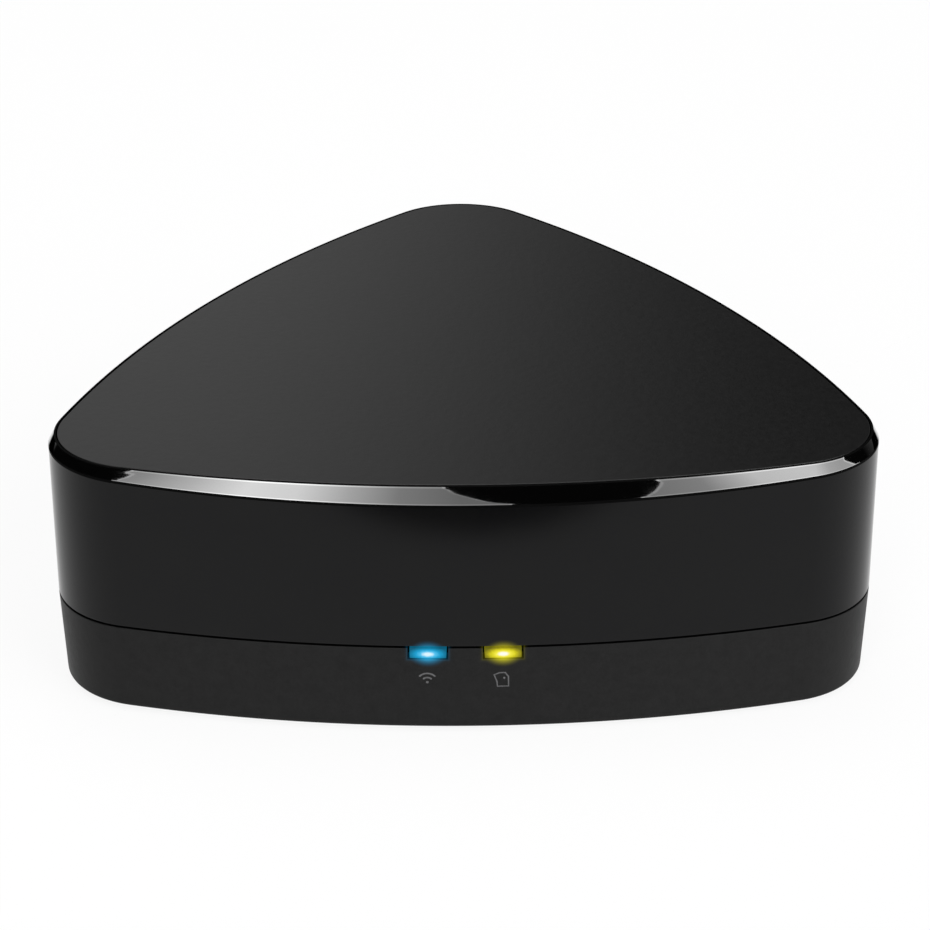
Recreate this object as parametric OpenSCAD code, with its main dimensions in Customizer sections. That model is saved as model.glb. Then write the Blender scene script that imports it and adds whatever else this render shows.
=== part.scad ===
// Tabletop infrared controller: a rounded-triangle housing over one circuit board.
// The plan is drawn about the triangle's centre, one corner towards +Y and one long side towards -Y.
// The origin is the middle of the footprint, on the plane that the feet stand on.

/* [Body] */
// Overall width across the two front corners, at the seam
body_w = 120; // [105:1:140]
// Radius of the three long sides
side_r = 189; // [165:1:220]
// Radius of the three corners
corner_r = 14.6; // [13:0.1:17]
// Height of the base shell, from its underside to the middle of the seam
base_h = 13.5; // [12.8:0.1:15.5]
// Height of the upper shell, from the middle of the seam to the top face
upper_h = 25; // [23:0.5:30]
// How far the base draws in from the seam to its underside
base_draw_in = 0.5; // [0.1:0.1:1.2]
// How far the window band draws in from the seam to the chamfer
band_draw_in = 0.1; // [0.05:0.05:0.4]

/* [Top] */
// Width of the polished chamfer, seen from above
chamfer_w = 0.9; // [0.6:0.1:1.3]
// Height of the chamfer at the middle of each long side
chamfer_drop_side = 2.6; // [1.8:0.1:3.2]
// Height of the chamfer at each corner
chamfer_drop_corner = 1.4; // [1:0.1:1.8]
// Width of the flat rim between the chamfer and the top plate
rim_w = 0.3; // [0.2:0.05:0.5]
// Thickness of the top plate
panel_t = 1; // [0.8:0.1:1.4]
// Hairline gap round the top plate
panel_gap = 0.15; // [0.1:0.05:0.25]
// Thickness of the adhesive sheet under the top plate
adhesive_t = 0.15; // [0.1:0.05:0.2]

/* [Shells] */
// Wall of the window band
upper_wall = 2.1; // [1.9:0.1:2.6]
// Deck of the upper shell, under the top plate
deck_t = 1.8; // [1.4:0.1:2.4]
// Wall of the base shell
base_wall = 2; // [1.8:0.1:2.4]
// Floor of the base shell
floor_t = 2; // [1.6:0.1:2.4]
// Shadow gap at the seam
seam_gap = 0.3; // [0.2:0.05:0.4]
// Height of the tongue that rises inside the seam
tongue_h = 1.8; // [1.4:0.1:2.4]
// Thickness of the tongue
tongue_t = 0.9; // [0.7:0.05:1]
// Clearance round the tongue
tongue_gap = 0.15; // [0.1:0.05:0.2]
// Broken edge at the seam
edge_c = 0.15; // [0.1:0.05:0.25]
// Radius of the base's lower edge
base_round = 0.6; // [0.4:0.1:0.9]
// Fillet between the walls and the floor or deck
inner_fillet = 0.8; // [0.4:0.1:1.2]

/* [Circuit board] */
// Thickness of the board
board_t = 1.6; // [1.2:0.1:1.8]
// Clearance between the board's edge and the base wall
board_margin = 2.2; // [2:0.1:2.8]
// Distance from the window sills down to the board's top face
board_drop = 0.1; // [0.05:0.05:0.3]
// Diameter of the standoffs
standoff_d = 4.8; // [4.2:0.1:5.6]

/* [Indicator windows] */
// Distance between the middles of the two windows
window_spacing = 10.7; // [9.5:0.1:14]
// Width of each window
window_w = 5.8; // [5:0.1:6.4]
// Height of each window
window_h = 1.85; // [1.7:0.05:2.2]
// Gap at each side of a light guide
guide_gap = 0.3; // [0.2:0.05:0.4]
// Gap under a light guide in its window
sill_gap = 0.2; // [0.1:0.05:0.3]
// Length of a light guide, from the outer face inwards
guide_l = 6.5; // [6:0.1:7.5]

/* [Infrared parts] */
// Diameter of an emitter's lens
emitter_d = 5; // [4.8:0.1:5.2]
// Length of an emitter
emitter_l = 8.6; // [8:0.1:9]
// Diameter of an emitter's flange
flange_d = 5.8; // [5.6:0.1:6]
// Height of the emitters' axes above the board
emitter_rise = 5.2; // [4.6:0.1:8]
// Distance of each emitter from the middle of its side
emitter_offset = 26.3; // [22:0.5:29]
// Gap between an emitter's tip and the inside of the band
emitter_gap = 1.3; // [0.8:0.1:2.5]
// Width of the receiver's moulding
receiver_w = 6; // [5.6:0.1:6.8]
// Height of the receiver's moulding
receiver_h = 7; // [6.4:0.1:7.6]

/* [Power socket] */
// Width of the socket's shell
socket_w = 7.5; // [7.4:0.05:7.6]
// Height of the socket's shell
socket_h = 2.55; // [2.45:0.05:2.65]
// Length of the socket's shell
socket_l = 5.2; // [5:0.1:5.8]
// Sheet thickness of the socket's shell
socket_wall = 0.3; // [0.25:0.05:0.35]
// Gap round the shell in the base wall
socket_gap = 0.3; // [0.2:0.05:0.4]
// Width of the flat recess for the plug's grip
recess_w = 12; // [11:0.5:13]
// Height of the flat recess
recess_h = 7.2; // [6.6:0.1:7.4]
// Depth of the flat recess behind the corner's outermost point
recess_d = 1.9; // [1.8:0.1:2.1]

/* [Reset switch] */
// Width of the switch body
switch_w = 6; // [5.8:0.1:6.2]
// Height of the switch body with its cover
switch_h = 3.5; // [3.4:0.1:3.8]
// Thickness of the cover plate
cover_t = 0.3; // [0.25:0.05:0.35]
// Diameter of the plunger's stem
stem_d = 3.5; // [3.3:0.1:3.6]
// How far the stem stands out of the cover
stem_out = 1.5; // [1.3:0.1:1.7]
// Travel of the plunger
travel = 0.25; // [0.2:0.01:0.3]
// Diameter of the hole that guides a pin to the plunger
pin_hole_d = 1.6; // [1.4:0.1:2]
// Gap between the pin guide and the plunger
pin_gap = 0.3; // [0.2:0.05:0.5]

/* [Feet and screws] */
// Diameter of the rubber feet
foot_d = 12; // [10:0.5:13]
// Thickness of the rubber feet
foot_t = 1.6; // [1.4:0.1:2]
// How far the feet stand proud of the underside
foot_proud = 0.8; // [0.6:0.1:1]
// Gap round each foot in its recess
foot_gap = 0.15; // [0.1:0.05:0.3]
// Distance of the case screws in from the corners' outermost points
column_in = 17; // [16:0.1:19]
// Diameter of the screw columns
column_d = 7; // [6.8:0.1:7.6]
// Diameter of the case screws
case_screw_d = 2.5; // [2.3:0.1:2.7]
// Length of the case screws under the head
case_screw_l = 13; // [12:0.5:15]
// Diameter of the case screws' heads
case_head_d = 4.6; // [4.2:0.1:4.8]
// Diameter of the board screws
board_screw_d = 2.2; // [2:0.1:2.4]
// Length of the board screws under the head
board_screw_l = 6; // [5:0.5:6.5]
// Diameter of the board screws' heads
board_head_d = 4.2; // [4:0.1:4.6]
// Radial play between a screw and its pilot hole
screw_gap = 0.05; // [0.02:0.01:0.1]

/* [Smoothness] */
// Steps along each corner
corner_steps = 24; // [12:2:32]
// Steps along each long side
side_steps = 16; // [8:2:24]
// Facets of the round details
$fn = 48; // [24:8:96]

/* [Hidden] */

// Directions of the corners and of the long sides, the rear corner first
corner_dirs = [90, 210, 330];
side_dirs = [150, 270, 30];
rear = 0;
left = 1;
right = 2;
left_side = 0;
front_side = 1;
right_side = 2;

// The plan: corner arcs and side arcs that meet in a common tangent
corner_centre = (body_w / 2 - corner_r) / cos(30);
side_centre = sqrt(pow(side_r - corner_r, 2) - pow(corner_centre * cos(30), 2)) - corner_centre / 2;
side_half = asin(corner_centre * cos(30) / (side_r - corner_r));
corner_half = 60 - side_half;
side_reach = side_r - side_centre;
corner_reach = corner_centre + corner_r;
centre_y = (corner_reach - side_reach) / 2;
column_reach = corner_reach - column_in;

// Levels, from the plane that the feet stand on
base_z = foot_proud;
floor_z = base_z + floor_t;
seam_z = base_z + base_h;
base_rim_z = seam_z - seam_gap / 2;
upper_rim_z = seam_z + seam_gap / 2;
top_z = seam_z + upper_h;
sill_z = base_rim_z - window_h;
board_top_z = sill_z - board_drop;
board_z = board_top_z - board_t;
tongue_z = base_rim_z + tongue_h;
rebate_z = tongue_z + 2 * tongue_gap;
panel_z = top_z - panel_t;
recess_z = panel_z - adhesive_t;
deck_z = recess_z - deck_t;
emitter_z = board_top_z + emitter_rise;

// Insets from the outline at the seam
tongue_out = base_wall - tongue_t;
rebate_in = tongue_out - tongue_gap;
chamfer_in = band_draw_in + chamfer_w;
recess_in = chamfer_in + rim_w;
panel_in = recess_in + panel_gap;
band_in = upper_wall + band_draw_in;
board_in = base_wall + board_margin;
floor_in = base_wall + base_draw_in * (base_h - floor_t) / base_h;

// Overrun of the cuts and of parts that fuse
overrun = 0.5;

// Screws and columns
column_rise = 0.6;
column_top_z = board_top_z + column_rise;
board_hole_gap = 0.6;
head_room = 2.4;
seat_z = base_z + foot_t - foot_proud + head_room;
head_h = 1.6;
head_gap = 0.3;
board_head_h = 1.4;
pilot_spare = 1;
shank_gap = 0.2;
slot_w = 0.7;
slot_depth_share = 0.5;
slot_length_share = 0.7;
foot_z = foot_t - foot_proud;
foot_edge = 0.4;
standoff_places_share = [[-0.3, -0.7], [0.3, -0.7], [-0.43, 0.38], [0.43, 0.38]];

// Ribs
rib_t = 1.2;
rib_clear = 1.85;
column_rib_h = board_z - socket_h - rib_clear - floor_z;
boss_rib_h = 8;
vent_w = 1.5;
vent_l = 14;
vent_spacing = 3.2;
vent_count = 5;
vent_place_share = [0, -0.47];

// Power socket, seen along the way the plug leaves
socket_z = board_z - socket_h / 2;
socket_face = corner_reach - recess_d;
socket_sink = 0.2;
socket_cut = 0.8;
pad_t = 1.9;
pad_w = 13;
pad_drop = 1.2;
insert_base_l = 1.2;
insert_play = 0.05;
tongue_plate_t = 0.6;
tongue_plate_w = 3.8;
tongue_plate_l = 2.6;
recess_r = 1.6;
opening_r = 0.9;

// Light guides and lamps
window_turn = asin(window_spacing / 2 / side_r);
guide_sink = 0.1;
guide_w = window_w - 2 * guide_gap;
guide_waist_share = 0.62;
guide_foot_share = 0.33;
guide_z = sill_z + sill_gap;
lamp_w = 1.6;
lamp_d = 0.8;
lamp_h = 0.8;
lamp_gap = 0.1;
lamp_end = 0.35;

// Emitters and receiver
emitter_turn = asin(emitter_offset / side_r);
emitter_in = band_in + emitter_gap;
flange_t = 1;
lead_w = 0.5;
lead_spacing = 2.54;
lead_back = 1.8;
receiver_d = 4;
receiver_in = 10.5;
receiver_dome_d = 4.4;
receiver_rise = 1.5;

// Chips: size, then the rows of leads as direction, count and lead width
chip_stand = 0.1;
chip_lead_t = 0.2;
chip_bite = 0.3;
chip_foot = 0.5;
chip_lead_w = 0.4;
main_chip_size = [10, 10, 1.4];
main_lead_w = 0.3;
main_chip_rows = [for (way = [0, 90, 180, 270]) [way, 10, main_lead_w]];
main_chip_spacing = 0.8;
main_chip_place_share = [0.09, -0.13];
memory_size = [5, 4, 1.5];
memory_rows = [[0, 4, chip_lead_w], [180, 4, chip_lead_w]];
memory_spacing = 1.27;
memory_place_share = [0.38, -0.22];
remote_chip_size = [10, 4, 1.5];
remote_chip_rows = [[0, 8, chip_lead_w], [180, 8, chip_lead_w]];
remote_chip_place_share = [0.47, 0.05];
regulator_size = [6.5, 3.5, 1.6];
regulator_lead_w = 0.7;
regulator_tab_w = 3;
regulator_rows = [[180, 3, regulator_lead_w], [0, 1, regulator_tab_w]];
regulator_spacing = 2.3;
regulator_place_share = [-0.24, 0.74];
transistor_size = [2.9, 1.3, 1];
transistor_rows = [[180, 2, chip_lead_w], [0, 1, chip_lead_w]];
transistor_spacing = 1.9;
transistor_places_share = [[-0.16, 0.3], [0, 0.3], [0.16, 0.3]];
sensor_place_share = [0, -0.47];

// Crystals
clock_size = [11.4, 4.7, 3.4];
clock_place_share = [0.09, -0.38];
remote_crystal_size = [5, 3.2, 1.2];
remote_crystal_place_share = [0.56, -0.12];
can_flange = 0.4;
can_flange_t = 0.5;

// Capacitors and resistors
capacitor_d = 6.3;
capacitor_h = 5.4;
capacitor_base = 6.6;
capacitor_base_t = 0.8;
capacitor_cut = 1.2;
capacitor_neck = 0.25;
capacitor_places_share = [[0.15, 0.74], [0.15, 0.53]];
resistor_size = [2, 1.25, 0.5];
resistor_end = 0.4;
resistor_end_t = 0.05;
resistor_row_share = [-0.3, 0.19];
resistor_step_share = 0.12;
resistor_count = 6;

// Radio module and aerial
radio_size = [16, 24, 0.8];
radio_place_share = [-0.47, -0.17];
radio_hole_d = 0.9;
radio_hole_spacing = 2;
radio_hole_count = 9;
shield_size = [13.6, 15, 2.2];
shield_place = -3.2;
shield_t = 0.2;
shield_vent_d = 1.2;
shield_vent_spacing = 4;
radio_chip_size = [5, 5, 0.9];
coil_d = 5;
coil_wire_d = 0.9;
coil_turns = 8;
coil_spacing = 1.6;
coil_leg = 2;
coil_steps = 12;
coil_sides = 6;
coil_lead_in = 4;
coil_place_share = [0.68, -0.3];

// Reset switch, hanging from the board's underside
switch_place_share = [0.28, 0.85];
cover_z = board_z - switch_h;
cavity_z = cover_z + cover_t;
flange_h = 0.6;
flange_play = 0.2;
stem_play = 0.1;
flange_out = 0.35;
dome_h = 2 * travel;
dome_t = 0.1;
dome_gap = 0.05;
dome_steps = 6;
cavity_h = flange_h + dome_gap + dome_h;
stem_z = cover_z - stem_out;
tube_top_z = stem_z - pin_gap;
tube_wall = 1.2;
leg_w = 0.7;
leg_out = 1;
leg_t = 0.3;
leg_spread_share = 0.75;
rivet_d = 0.8;
rivet_h = 0.15;
rivet_spread_share = 0.76;

function polar(r, a) = [r * cos(a), r * sin(a)];

// One corner of the outline, drawn in by an inset
function corner_points(k, inset) = [
    for (i = [0:corner_steps])
        polar(corner_centre, corner_dirs[k])
        + polar(corner_r - inset, corner_dirs[k] + corner_half * (2 * i / corner_steps - 1))
];

// One long side of the outline without its ends
function side_points(k, inset) = [
    for (i = [1:side_steps - 1])
        polar(-side_centre, side_dirs[k])
        + polar(side_r - inset, side_dirs[k] + side_half * (2 * i / side_steps - 1))
];

function outline(inset) = [
    for (k = [0:2])
        each concat(corner_points(k, inset), side_points(k, inset))
];

function ring(inset, z) = [for (p = outline(inset)) [p.x, p.y, z]];

// Lower edge of the chamfer: low along the sides, higher round the corners
function chamfer_drop(p) =
    chamfer_drop_side + (chamfer_drop_corner - chamfer_drop_side)
    * (p * p - side_reach * side_reach) / (corner_reach * corner_reach - side_reach * side_reach);

function chamfer_ring(inset) = [for (p = outline(inset)) [p.x, p.y, top_z - chamfer_drop(p)]];

// Inset of the base's outer face at a height
function base_inset(z) = base_draw_in * (seam_z - z) / base_h;

// The base's rounded lower edge
function base_edge_rings() = [
    for (a = [0:22.5:67.5])
        let (z = base_z + base_round * (1 - cos(a)))
        ring(base_inset(z) + base_round * (1 - sin(a)), z)
];

// A rectangle with round corners
function rounded_rect(w, h, r) = [
    for (k = [0:3], i = [0:4])
        let (a = 90 * k + 22.5 * i, sx = (k == 0 || k == 3) ? 1 : -1, sy = k < 2 ? 1 : -1)
        [sx * (w / 2 - r), sy * (h / 2 - r)] + polar(r, a)
];

// A closed solid through a stack of rings with as many points each
module loft(rings) {
    n = len(rings[0]);
    last = len(rings) - 1;
    sides = [
        for (j = [0:last - 1], i = [0:n - 1])
            let (a = j * n + i, b = j * n + (i + 1) % n)
            each [[a, a + n, b + n], [a, b + n, b]]
    ];
    floor_face = [for (i = [0:n - 1]) i];
    top_face = [for (i = [n - 1:-1:0]) last * n + i];
    polyhedron([for (r = rings) each r], concat([floor_face], sides, [top_face]));
}

// Draws about the triangle's centre
module from_centre() {
    translate([0, -centre_y, 0]) children();
}

// Draws on the outer face of a long side, +X outwards, turned along the side's arc
module on_side(side, turn) {
    from_centre()
    rotate(side_dirs[side])
    translate([-side_centre, 0, 0])
    rotate(turn)
    translate([side_r, 0, 0])
    children();
}

// Draws at a distance from the centre towards a corner, +X outwards
module at_corner(corner, reach) {
    from_centre()
    rotate(corner_dirs[corner])
    translate([reach, 0, 0])
    children();
}

// Draws at a place given as shares of the side's reach
module at_share(place_share, z) {
    from_centre()
    translate([place_share.x * side_reach, place_share.y * side_reach, z])
    children();
}

module top_panel() {
    color("#2b2b2b")
    from_centre()
    loft([
        ring(panel_in, panel_z),
        ring(panel_in, top_z - panel_gap),
        ring(panel_in + panel_gap, top_z)
    ]);
}

module panel_adhesive() {
    color("#d8d4c8")
    from_centre()
    translate([0, 0, recess_z])
    linear_extrude(adhesive_t)
    polygon(outline(panel_in + rim_w));
}

module upper_shell_body() {
    from_centre()
    loft([
        ring(band_in + inner_fillet, deck_z),
        ring(band_in, deck_z - inner_fillet),
        ring(upper_wall, rebate_z),
        ring(rebate_in, rebate_z),
        ring(rebate_in, upper_rim_z),
        ring(edge_c, upper_rim_z),
        ring(0, upper_rim_z + edge_c),
        chamfer_ring(band_draw_in),
        ring(chamfer_in, top_z),
        ring(recess_in, top_z),
        ring(recess_in, recess_z)
    ]);
}

// A screw boss that hangs from the deck, with a rib out to the corner
module upper_boss(corner) {
    at_corner(corner, column_reach)
    translate([0, 0, column_top_z])
    cylinder(h = deck_z - column_top_z + overrun, d = column_d);
    at_corner(corner, column_reach)
    translate([0, -rib_t / 2, deck_z - boss_rib_h])
    cube([corner_reach - column_reach - band_in + overrun, rib_t, boss_rib_h + overrun]);
}

module upper_shell() {
    color("#1b1b1d")
    difference() {
        union() {
            upper_shell_body();
            for (corner = [rear, left, right]) upper_boss(corner);
        }
        for (corner = [rear, left, right])
            at_corner(corner, column_reach)
            translate([0, 0, column_top_z - overrun])
            cylinder(
                h = seat_z + case_screw_l + pilot_spare - column_top_z + overrun,
                d = case_screw_d + 2 * screw_gap
            );
    }
}

module base_shell_body() {
    from_centre()
    loft(concat(base_edge_rings(), [
        ring(base_inset(base_z + base_round), base_z + base_round),
        ring(base_inset(base_rim_z - edge_c), base_rim_z - edge_c),
        ring(edge_c, base_rim_z),
        ring(tongue_out, base_rim_z),
        ring(tongue_out, tongue_z - edge_c),
        ring(tongue_out + edge_c, tongue_z),
        ring(base_wall, tongue_z),
        ring(floor_in, floor_z + inner_fillet),
        ring(floor_in + inner_fillet, floor_z)
    ]));
}

// A screw column and its rib, one in each corner
module base_column(corner) {
    at_corner(corner, column_reach)
    translate([0, 0, floor_z - overrun])
    cylinder(h = column_top_z - floor_z + overrun, d = column_d);
    at_corner(corner, column_reach)
    translate([0, -rib_t / 2, floor_z - overrun])
    cube([corner_reach - column_reach - floor_in + overrun, rib_t, column_rib_h + overrun]);
}

// What a case screw and a foot take out of a column
module base_column_cut(corner) {
    at_corner(corner, column_reach)
    translate([0, 0, base_z - overrun])
    cylinder(h = column_top_z - base_z + 2 * overrun, d = case_screw_d + 2 * shank_gap);
    at_corner(corner, column_reach)
    translate([0, 0, base_z - overrun])
    cylinder(h = seat_z - base_z + overrun, d = case_head_d + 2 * head_gap);
    at_corner(corner, column_reach)
    translate([0, 0, base_z - overrun])
    cylinder(h = foot_z + overrun, d = foot_d + 2 * foot_gap);
}

// The flat inner pad that the socket looks through
module socket_pad() {
    at_corner(rear, socket_face - pad_t)
    translate([0, -pad_w / 2, floor_z - overrun])
    cube([pad_t, pad_w, base_rim_z - pad_drop - floor_z + overrun]);
}

// The socket's opening and the flat recess outside it
module socket_cuts() {
    at_corner(rear, socket_face - pad_t - overrun)
    translate([0, 0, socket_z])
    rotate([90, 0, 90])
    linear_extrude(pad_t + 2 * overrun)
    polygon(rounded_rect(socket_w + 2 * socket_gap, socket_h + 2 * socket_gap, opening_r));
    at_corner(rear, socket_face)
    translate([0, 0, socket_z])
    rotate([90, 0, 90])
    linear_extrude(recess_d + overrun)
    polygon(rounded_rect(recess_w, recess_h, recess_r));
}

module window_cut(turn) {
    on_side(front_side, turn)
    translate([-base_wall - overrun, -window_w / 2, sill_z])
    cube([base_wall + 2 * overrun, window_w, tongue_z - sill_z + overrun]);
}

module vent_cuts() {
    for (i = [0:vent_count - 1])
        at_share(vent_place_share, base_z - overrun)
        translate([-vent_l / 2, (i - (vent_count - 1) / 2) * vent_spacing - vent_w / 2, 0])
        cube([vent_l, vent_w, floor_t + 2 * overrun]);
}

module base_shell() {
    color("#262626")
    difference() {
        union() {
            base_shell_body();
            socket_pad();
            for (corner = [rear, left, right]) base_column(corner);
            for (place_share = standoff_places_share)
                at_share(place_share, floor_z - overrun)
                cylinder(h = board_z - floor_z + overrun, d = standoff_d);
            at_share(switch_place_share, floor_z - overrun)
            cylinder(h = tube_top_z - floor_z + overrun, d = pin_hole_d + 2 * tube_wall);
        }
        for (corner = [rear, left, right]) base_column_cut(corner);
        for (place_share = standoff_places_share)
            at_share(place_share, board_top_z - board_screw_l - pilot_spare)
            cylinder(h = board_screw_l + pilot_spare, d = board_screw_d + 2 * screw_gap);
        at_share(switch_place_share, base_z - overrun)
        cylinder(h = tube_top_z - base_z + 2 * overrun, d = pin_hole_d);
        socket_cuts();
        for (turn = [-window_turn, window_turn]) window_cut(turn);
        vent_cuts();
    }
}

// A light guide: a wide face in the window, a waist, and a foot on the board
module light_guide(turn) {
    waist = guide_w / 2 * guide_waist_share;
    foot = guide_l * guide_foot_share;
    on_side(front_side, turn) {
        translate([0, 0, guide_z])
        linear_extrude(base_rim_z - guide_z)
        polygon([
            [-guide_sink, -guide_w / 2],
            [-guide_sink, guide_w / 2],
            [-base_wall - guide_gap, guide_w / 2],
            [-guide_l + foot, waist],
            [-guide_l, waist],
            [-guide_l, -waist],
            [-guide_l + foot, -waist],
            [-base_wall - guide_gap, -guide_w / 2]
        ]);
        translate([-guide_l, -waist, board_top_z])
        cube([foot, 2 * waist, base_rim_z - board_top_z]);
    }
}

module network_light_guide() {
    color("#39b8ea") light_guide(-window_turn);
}

module status_light_guide() {
    color("#efe53a") light_guide(window_turn);
}

// A side-lit lamp with its two solder ends
module lamp(turn) {
    on_side(front_side, turn)
    translate([-guide_l - lamp_gap - lamp_d, 0, board_top_z])
    union() {
        translate([0, -lamp_w / 2 + lamp_end, 0])
        cube([lamp_d, lamp_w - 2 * lamp_end, lamp_h]);
        for (y = [-lamp_w / 2, lamp_w / 2 - lamp_end])
            translate([0, y, 0])
            cube([lamp_d, lamp_end, lamp_h / 2]);
    }
}

module network_lamp() {
    color("#e8f4ff") lamp(-window_turn);
}

module status_lamp() {
    color("#fff6c8") lamp(window_turn);
}

module circuit_board() {
    color("#1d5a3a")
    difference() {
        from_centre()
        translate([0, 0, board_z])
        linear_extrude(board_t)
        polygon(outline(board_in));
        for (corner = [rear, left, right])
            at_corner(corner, column_reach)
            translate([0, 0, board_z - overrun])
            cylinder(h = board_t + 2 * overrun, d = column_d + 2 * board_hole_gap);
        for (place_share = standoff_places_share)
            at_share(place_share, board_z - overrun)
            cylinder(h = board_t + 2 * overrun, d = board_screw_d + 2 * shank_gap);
    }
}

// A through-hole emitter lying on its side, its leads bent down to the board
module ir_emitter(side, turn) {
    body = emitter_l - emitter_d / 2;
    dome = [for (a = [0:15:90]) [emitter_d / 2 * cos(a), body + emitter_d / 2 * sin(a)]];
    profile = concat([[0, 0], [flange_d / 2, 0], [flange_d / 2, flange_t], [emitter_d / 2, flange_t]], dome);
    color("#8fa3c8")
    on_side(side, turn)
    translate([-emitter_in - emitter_l, 0, emitter_z]) {
        rotate([0, 90, 0])
        rotate_extrude()
        polygon(profile);
        for (y = [-lead_spacing / 2, lead_spacing / 2]) {
            translate([-lead_back, y - lead_w / 2, -lead_w / 2])
            cube([lead_back + flange_t / 2, lead_w, lead_w]);
            translate([-lead_back, y - lead_w / 2, -emitter_rise])
            cube([lead_w, lead_w, emitter_rise]);
        }
    }
}

module ir_emitter_front_left() {
    ir_emitter(front_side, -emitter_turn);
}

module ir_emitter_front_right() {
    ir_emitter(front_side, emitter_turn);
}

module ir_emitter_left_front() {
    ir_emitter(left_side, emitter_turn);
}

module ir_emitter_left_rear() {
    ir_emitter(left_side, -emitter_turn);
}

module ir_emitter_right_front() {
    ir_emitter(right_side, -emitter_turn);
}

module ir_emitter_right_rear() {
    ir_emitter(right_side, emitter_turn);
}

// The receiver: a moulded block with a lens on its face, on three leads
module ir_receiver() {
    color("#2a2622")
    on_side(front_side, 0)
    translate([-receiver_in - receiver_d, 0, board_top_z]) {
        translate([0, -receiver_w / 2, receiver_rise])
        cube([receiver_d, receiver_w, receiver_h]);
        intersection() {
            translate([receiver_d, 0, receiver_rise + receiver_h / 2])
            sphere(d = receiver_dome_d);
            translate([receiver_d / 2, -receiver_w / 2, receiver_rise])
            cube([receiver_d, receiver_w, receiver_h]);
        }
        for (y = [-lead_spacing, 0, lead_spacing])
            translate([receiver_d / 2 - lead_w / 2, y - lead_w / 2, 0])
            cube([lead_w, lead_w, receiver_rise + lead_w]);
    }
}

// A moulded chip body with rows of gull-wing leads
module chip(size, rows, pitch) {
    middle = chip_stand + size.z / 2;
    translate([-size.x / 2, -size.y / 2, chip_stand]) cube(size);
    for (row = rows)
        rotate(row[0])
        for (i = [0:row[1] - 1])
            translate([(i - (row[1] - 1) / 2) * pitch - row[2] / 2, size.y / 2, 0])
            rotate([90, 0, 90])
            linear_extrude(row[2])
            polygon([
                [-chip_bite, middle],
                [chip_foot, middle],
                [chip_foot, chip_lead_t],
                [2 * chip_foot, chip_lead_t],
                [2 * chip_foot, 0],
                [chip_foot - chip_lead_t, 0],
                [chip_foot - chip_lead_t, middle - chip_lead_t],
                [-chip_bite, middle - chip_lead_t]
            ]);
}

module main_chip() {
    color("#202022")
    at_share(main_chip_place_share, board_top_z)
    chip(main_chip_size, main_chip_rows, main_chip_spacing);
}

module memory_chip() {
    color("#202022")
    at_share(memory_place_share, board_top_z)
    chip(memory_size, memory_rows, memory_spacing);
}

module remote_radio_chip() {
    color("#202022")
    at_share(remote_chip_place_share, board_top_z)
    chip(remote_chip_size, remote_chip_rows, memory_spacing);
}

module voltage_regulator() {
    color("#202022")
    at_share(regulator_place_share, board_top_z)
    chip(regulator_size, regulator_rows, regulator_spacing);
}

module driver_transistors() {
    color("#202022")
    for (place_share = transistor_places_share)
        at_share(place_share, board_top_z)
        chip(transistor_size, transistor_rows, transistor_spacing);
}

// Hangs from the board's underside, over the vents
module temperature_sensor() {
    color("#202022")
    at_share(sensor_place_share, board_z)
    rotate([180, 0, 0])
    chip(transistor_size, transistor_rows, transistor_spacing);
}

// A crystal's can: an oblong lid on a flange
module crystal_can(size) {
    linear_extrude(can_flange_t)
    polygon(rounded_rect(size.x, size.y, size.y / 2 - can_flange));
    translate([0, 0, can_flange_t])
    linear_extrude(size.z - can_flange_t)
    polygon(rounded_rect(size.x - 2 * can_flange, size.y - 2 * can_flange, size.y / 2 - 2 * can_flange));
}

module clock_crystal() {
    color("#c9c9c4")
    at_share(clock_place_share, board_top_z)
    crystal_can(clock_size);
}

module remote_radio_crystal() {
    color("#c9c9c4")
    at_share(remote_crystal_place_share, board_top_z)
    crystal_can(remote_crystal_size);
}

// An electrolytic can with a crimped neck on its square foot
module capacitor() {
    half = capacitor_base / 2;
    linear_extrude(capacitor_base_t)
    polygon([
        [-half, -half],
        [half - capacitor_cut, -half],
        [half, -half + capacitor_cut],
        [half, half - capacitor_cut],
        [half - capacitor_cut, half],
        [-half, half]
    ]);
    rotate_extrude()
    polygon([
        [0, capacitor_base_t / 2],
        [capacitor_d / 2, capacitor_base_t / 2],
        [capacitor_d / 2, 2 * capacitor_base_t],
        [capacitor_d / 2 - capacitor_neck, 2.5 * capacitor_base_t],
        [capacitor_d / 2, 3 * capacitor_base_t],
        [capacitor_d / 2, capacitor_h - capacitor_neck],
        [capacitor_d / 2 - capacitor_neck, capacitor_h],
        [0, capacitor_h]
    ]);
}

module capacitors() {
    color("#b9bcc0")
    for (place_share = capacitor_places_share)
        at_share(place_share, board_top_z)
        capacitor();
}

module chip_resistor() {
    translate([-resistor_size.x / 2 + resistor_end, -resistor_size.y / 2, 0])
    cube([resistor_size.x - 2 * resistor_end, resistor_size.y, resistor_size.z]);
    for (x = [-resistor_size.x / 2, resistor_size.x / 2 - resistor_end])
        translate([x, -resistor_size.y / 2, 0])
        cube([resistor_end, resistor_size.y, resistor_size.z + resistor_end_t]);
}

module chip_resistors() {
    color("#3a3a3e")
    for (i = [0:resistor_count - 1])
        at_share(resistor_row_share + [i * resistor_step_share, 0], board_top_z)
        rotate(90)
        chip_resistor();
}

// The radio module's own board, with half-round contacts along two edges
module radio_board() {
    color("#20402f")
    at_share(radio_place_share, board_top_z)
    difference() {
        translate([-radio_size.x / 2, -radio_size.y / 2, 0])
        cube(radio_size);
        for (x = [-radio_size.x / 2, radio_size.x / 2], i = [0:radio_hole_count - 1])
            translate([x, shield_place + (i - (radio_hole_count - 1) / 2) * radio_hole_spacing, -overrun])
            cylinder(h = radio_size.z + 2 * overrun, d = radio_hole_d);
    }
}

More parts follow.
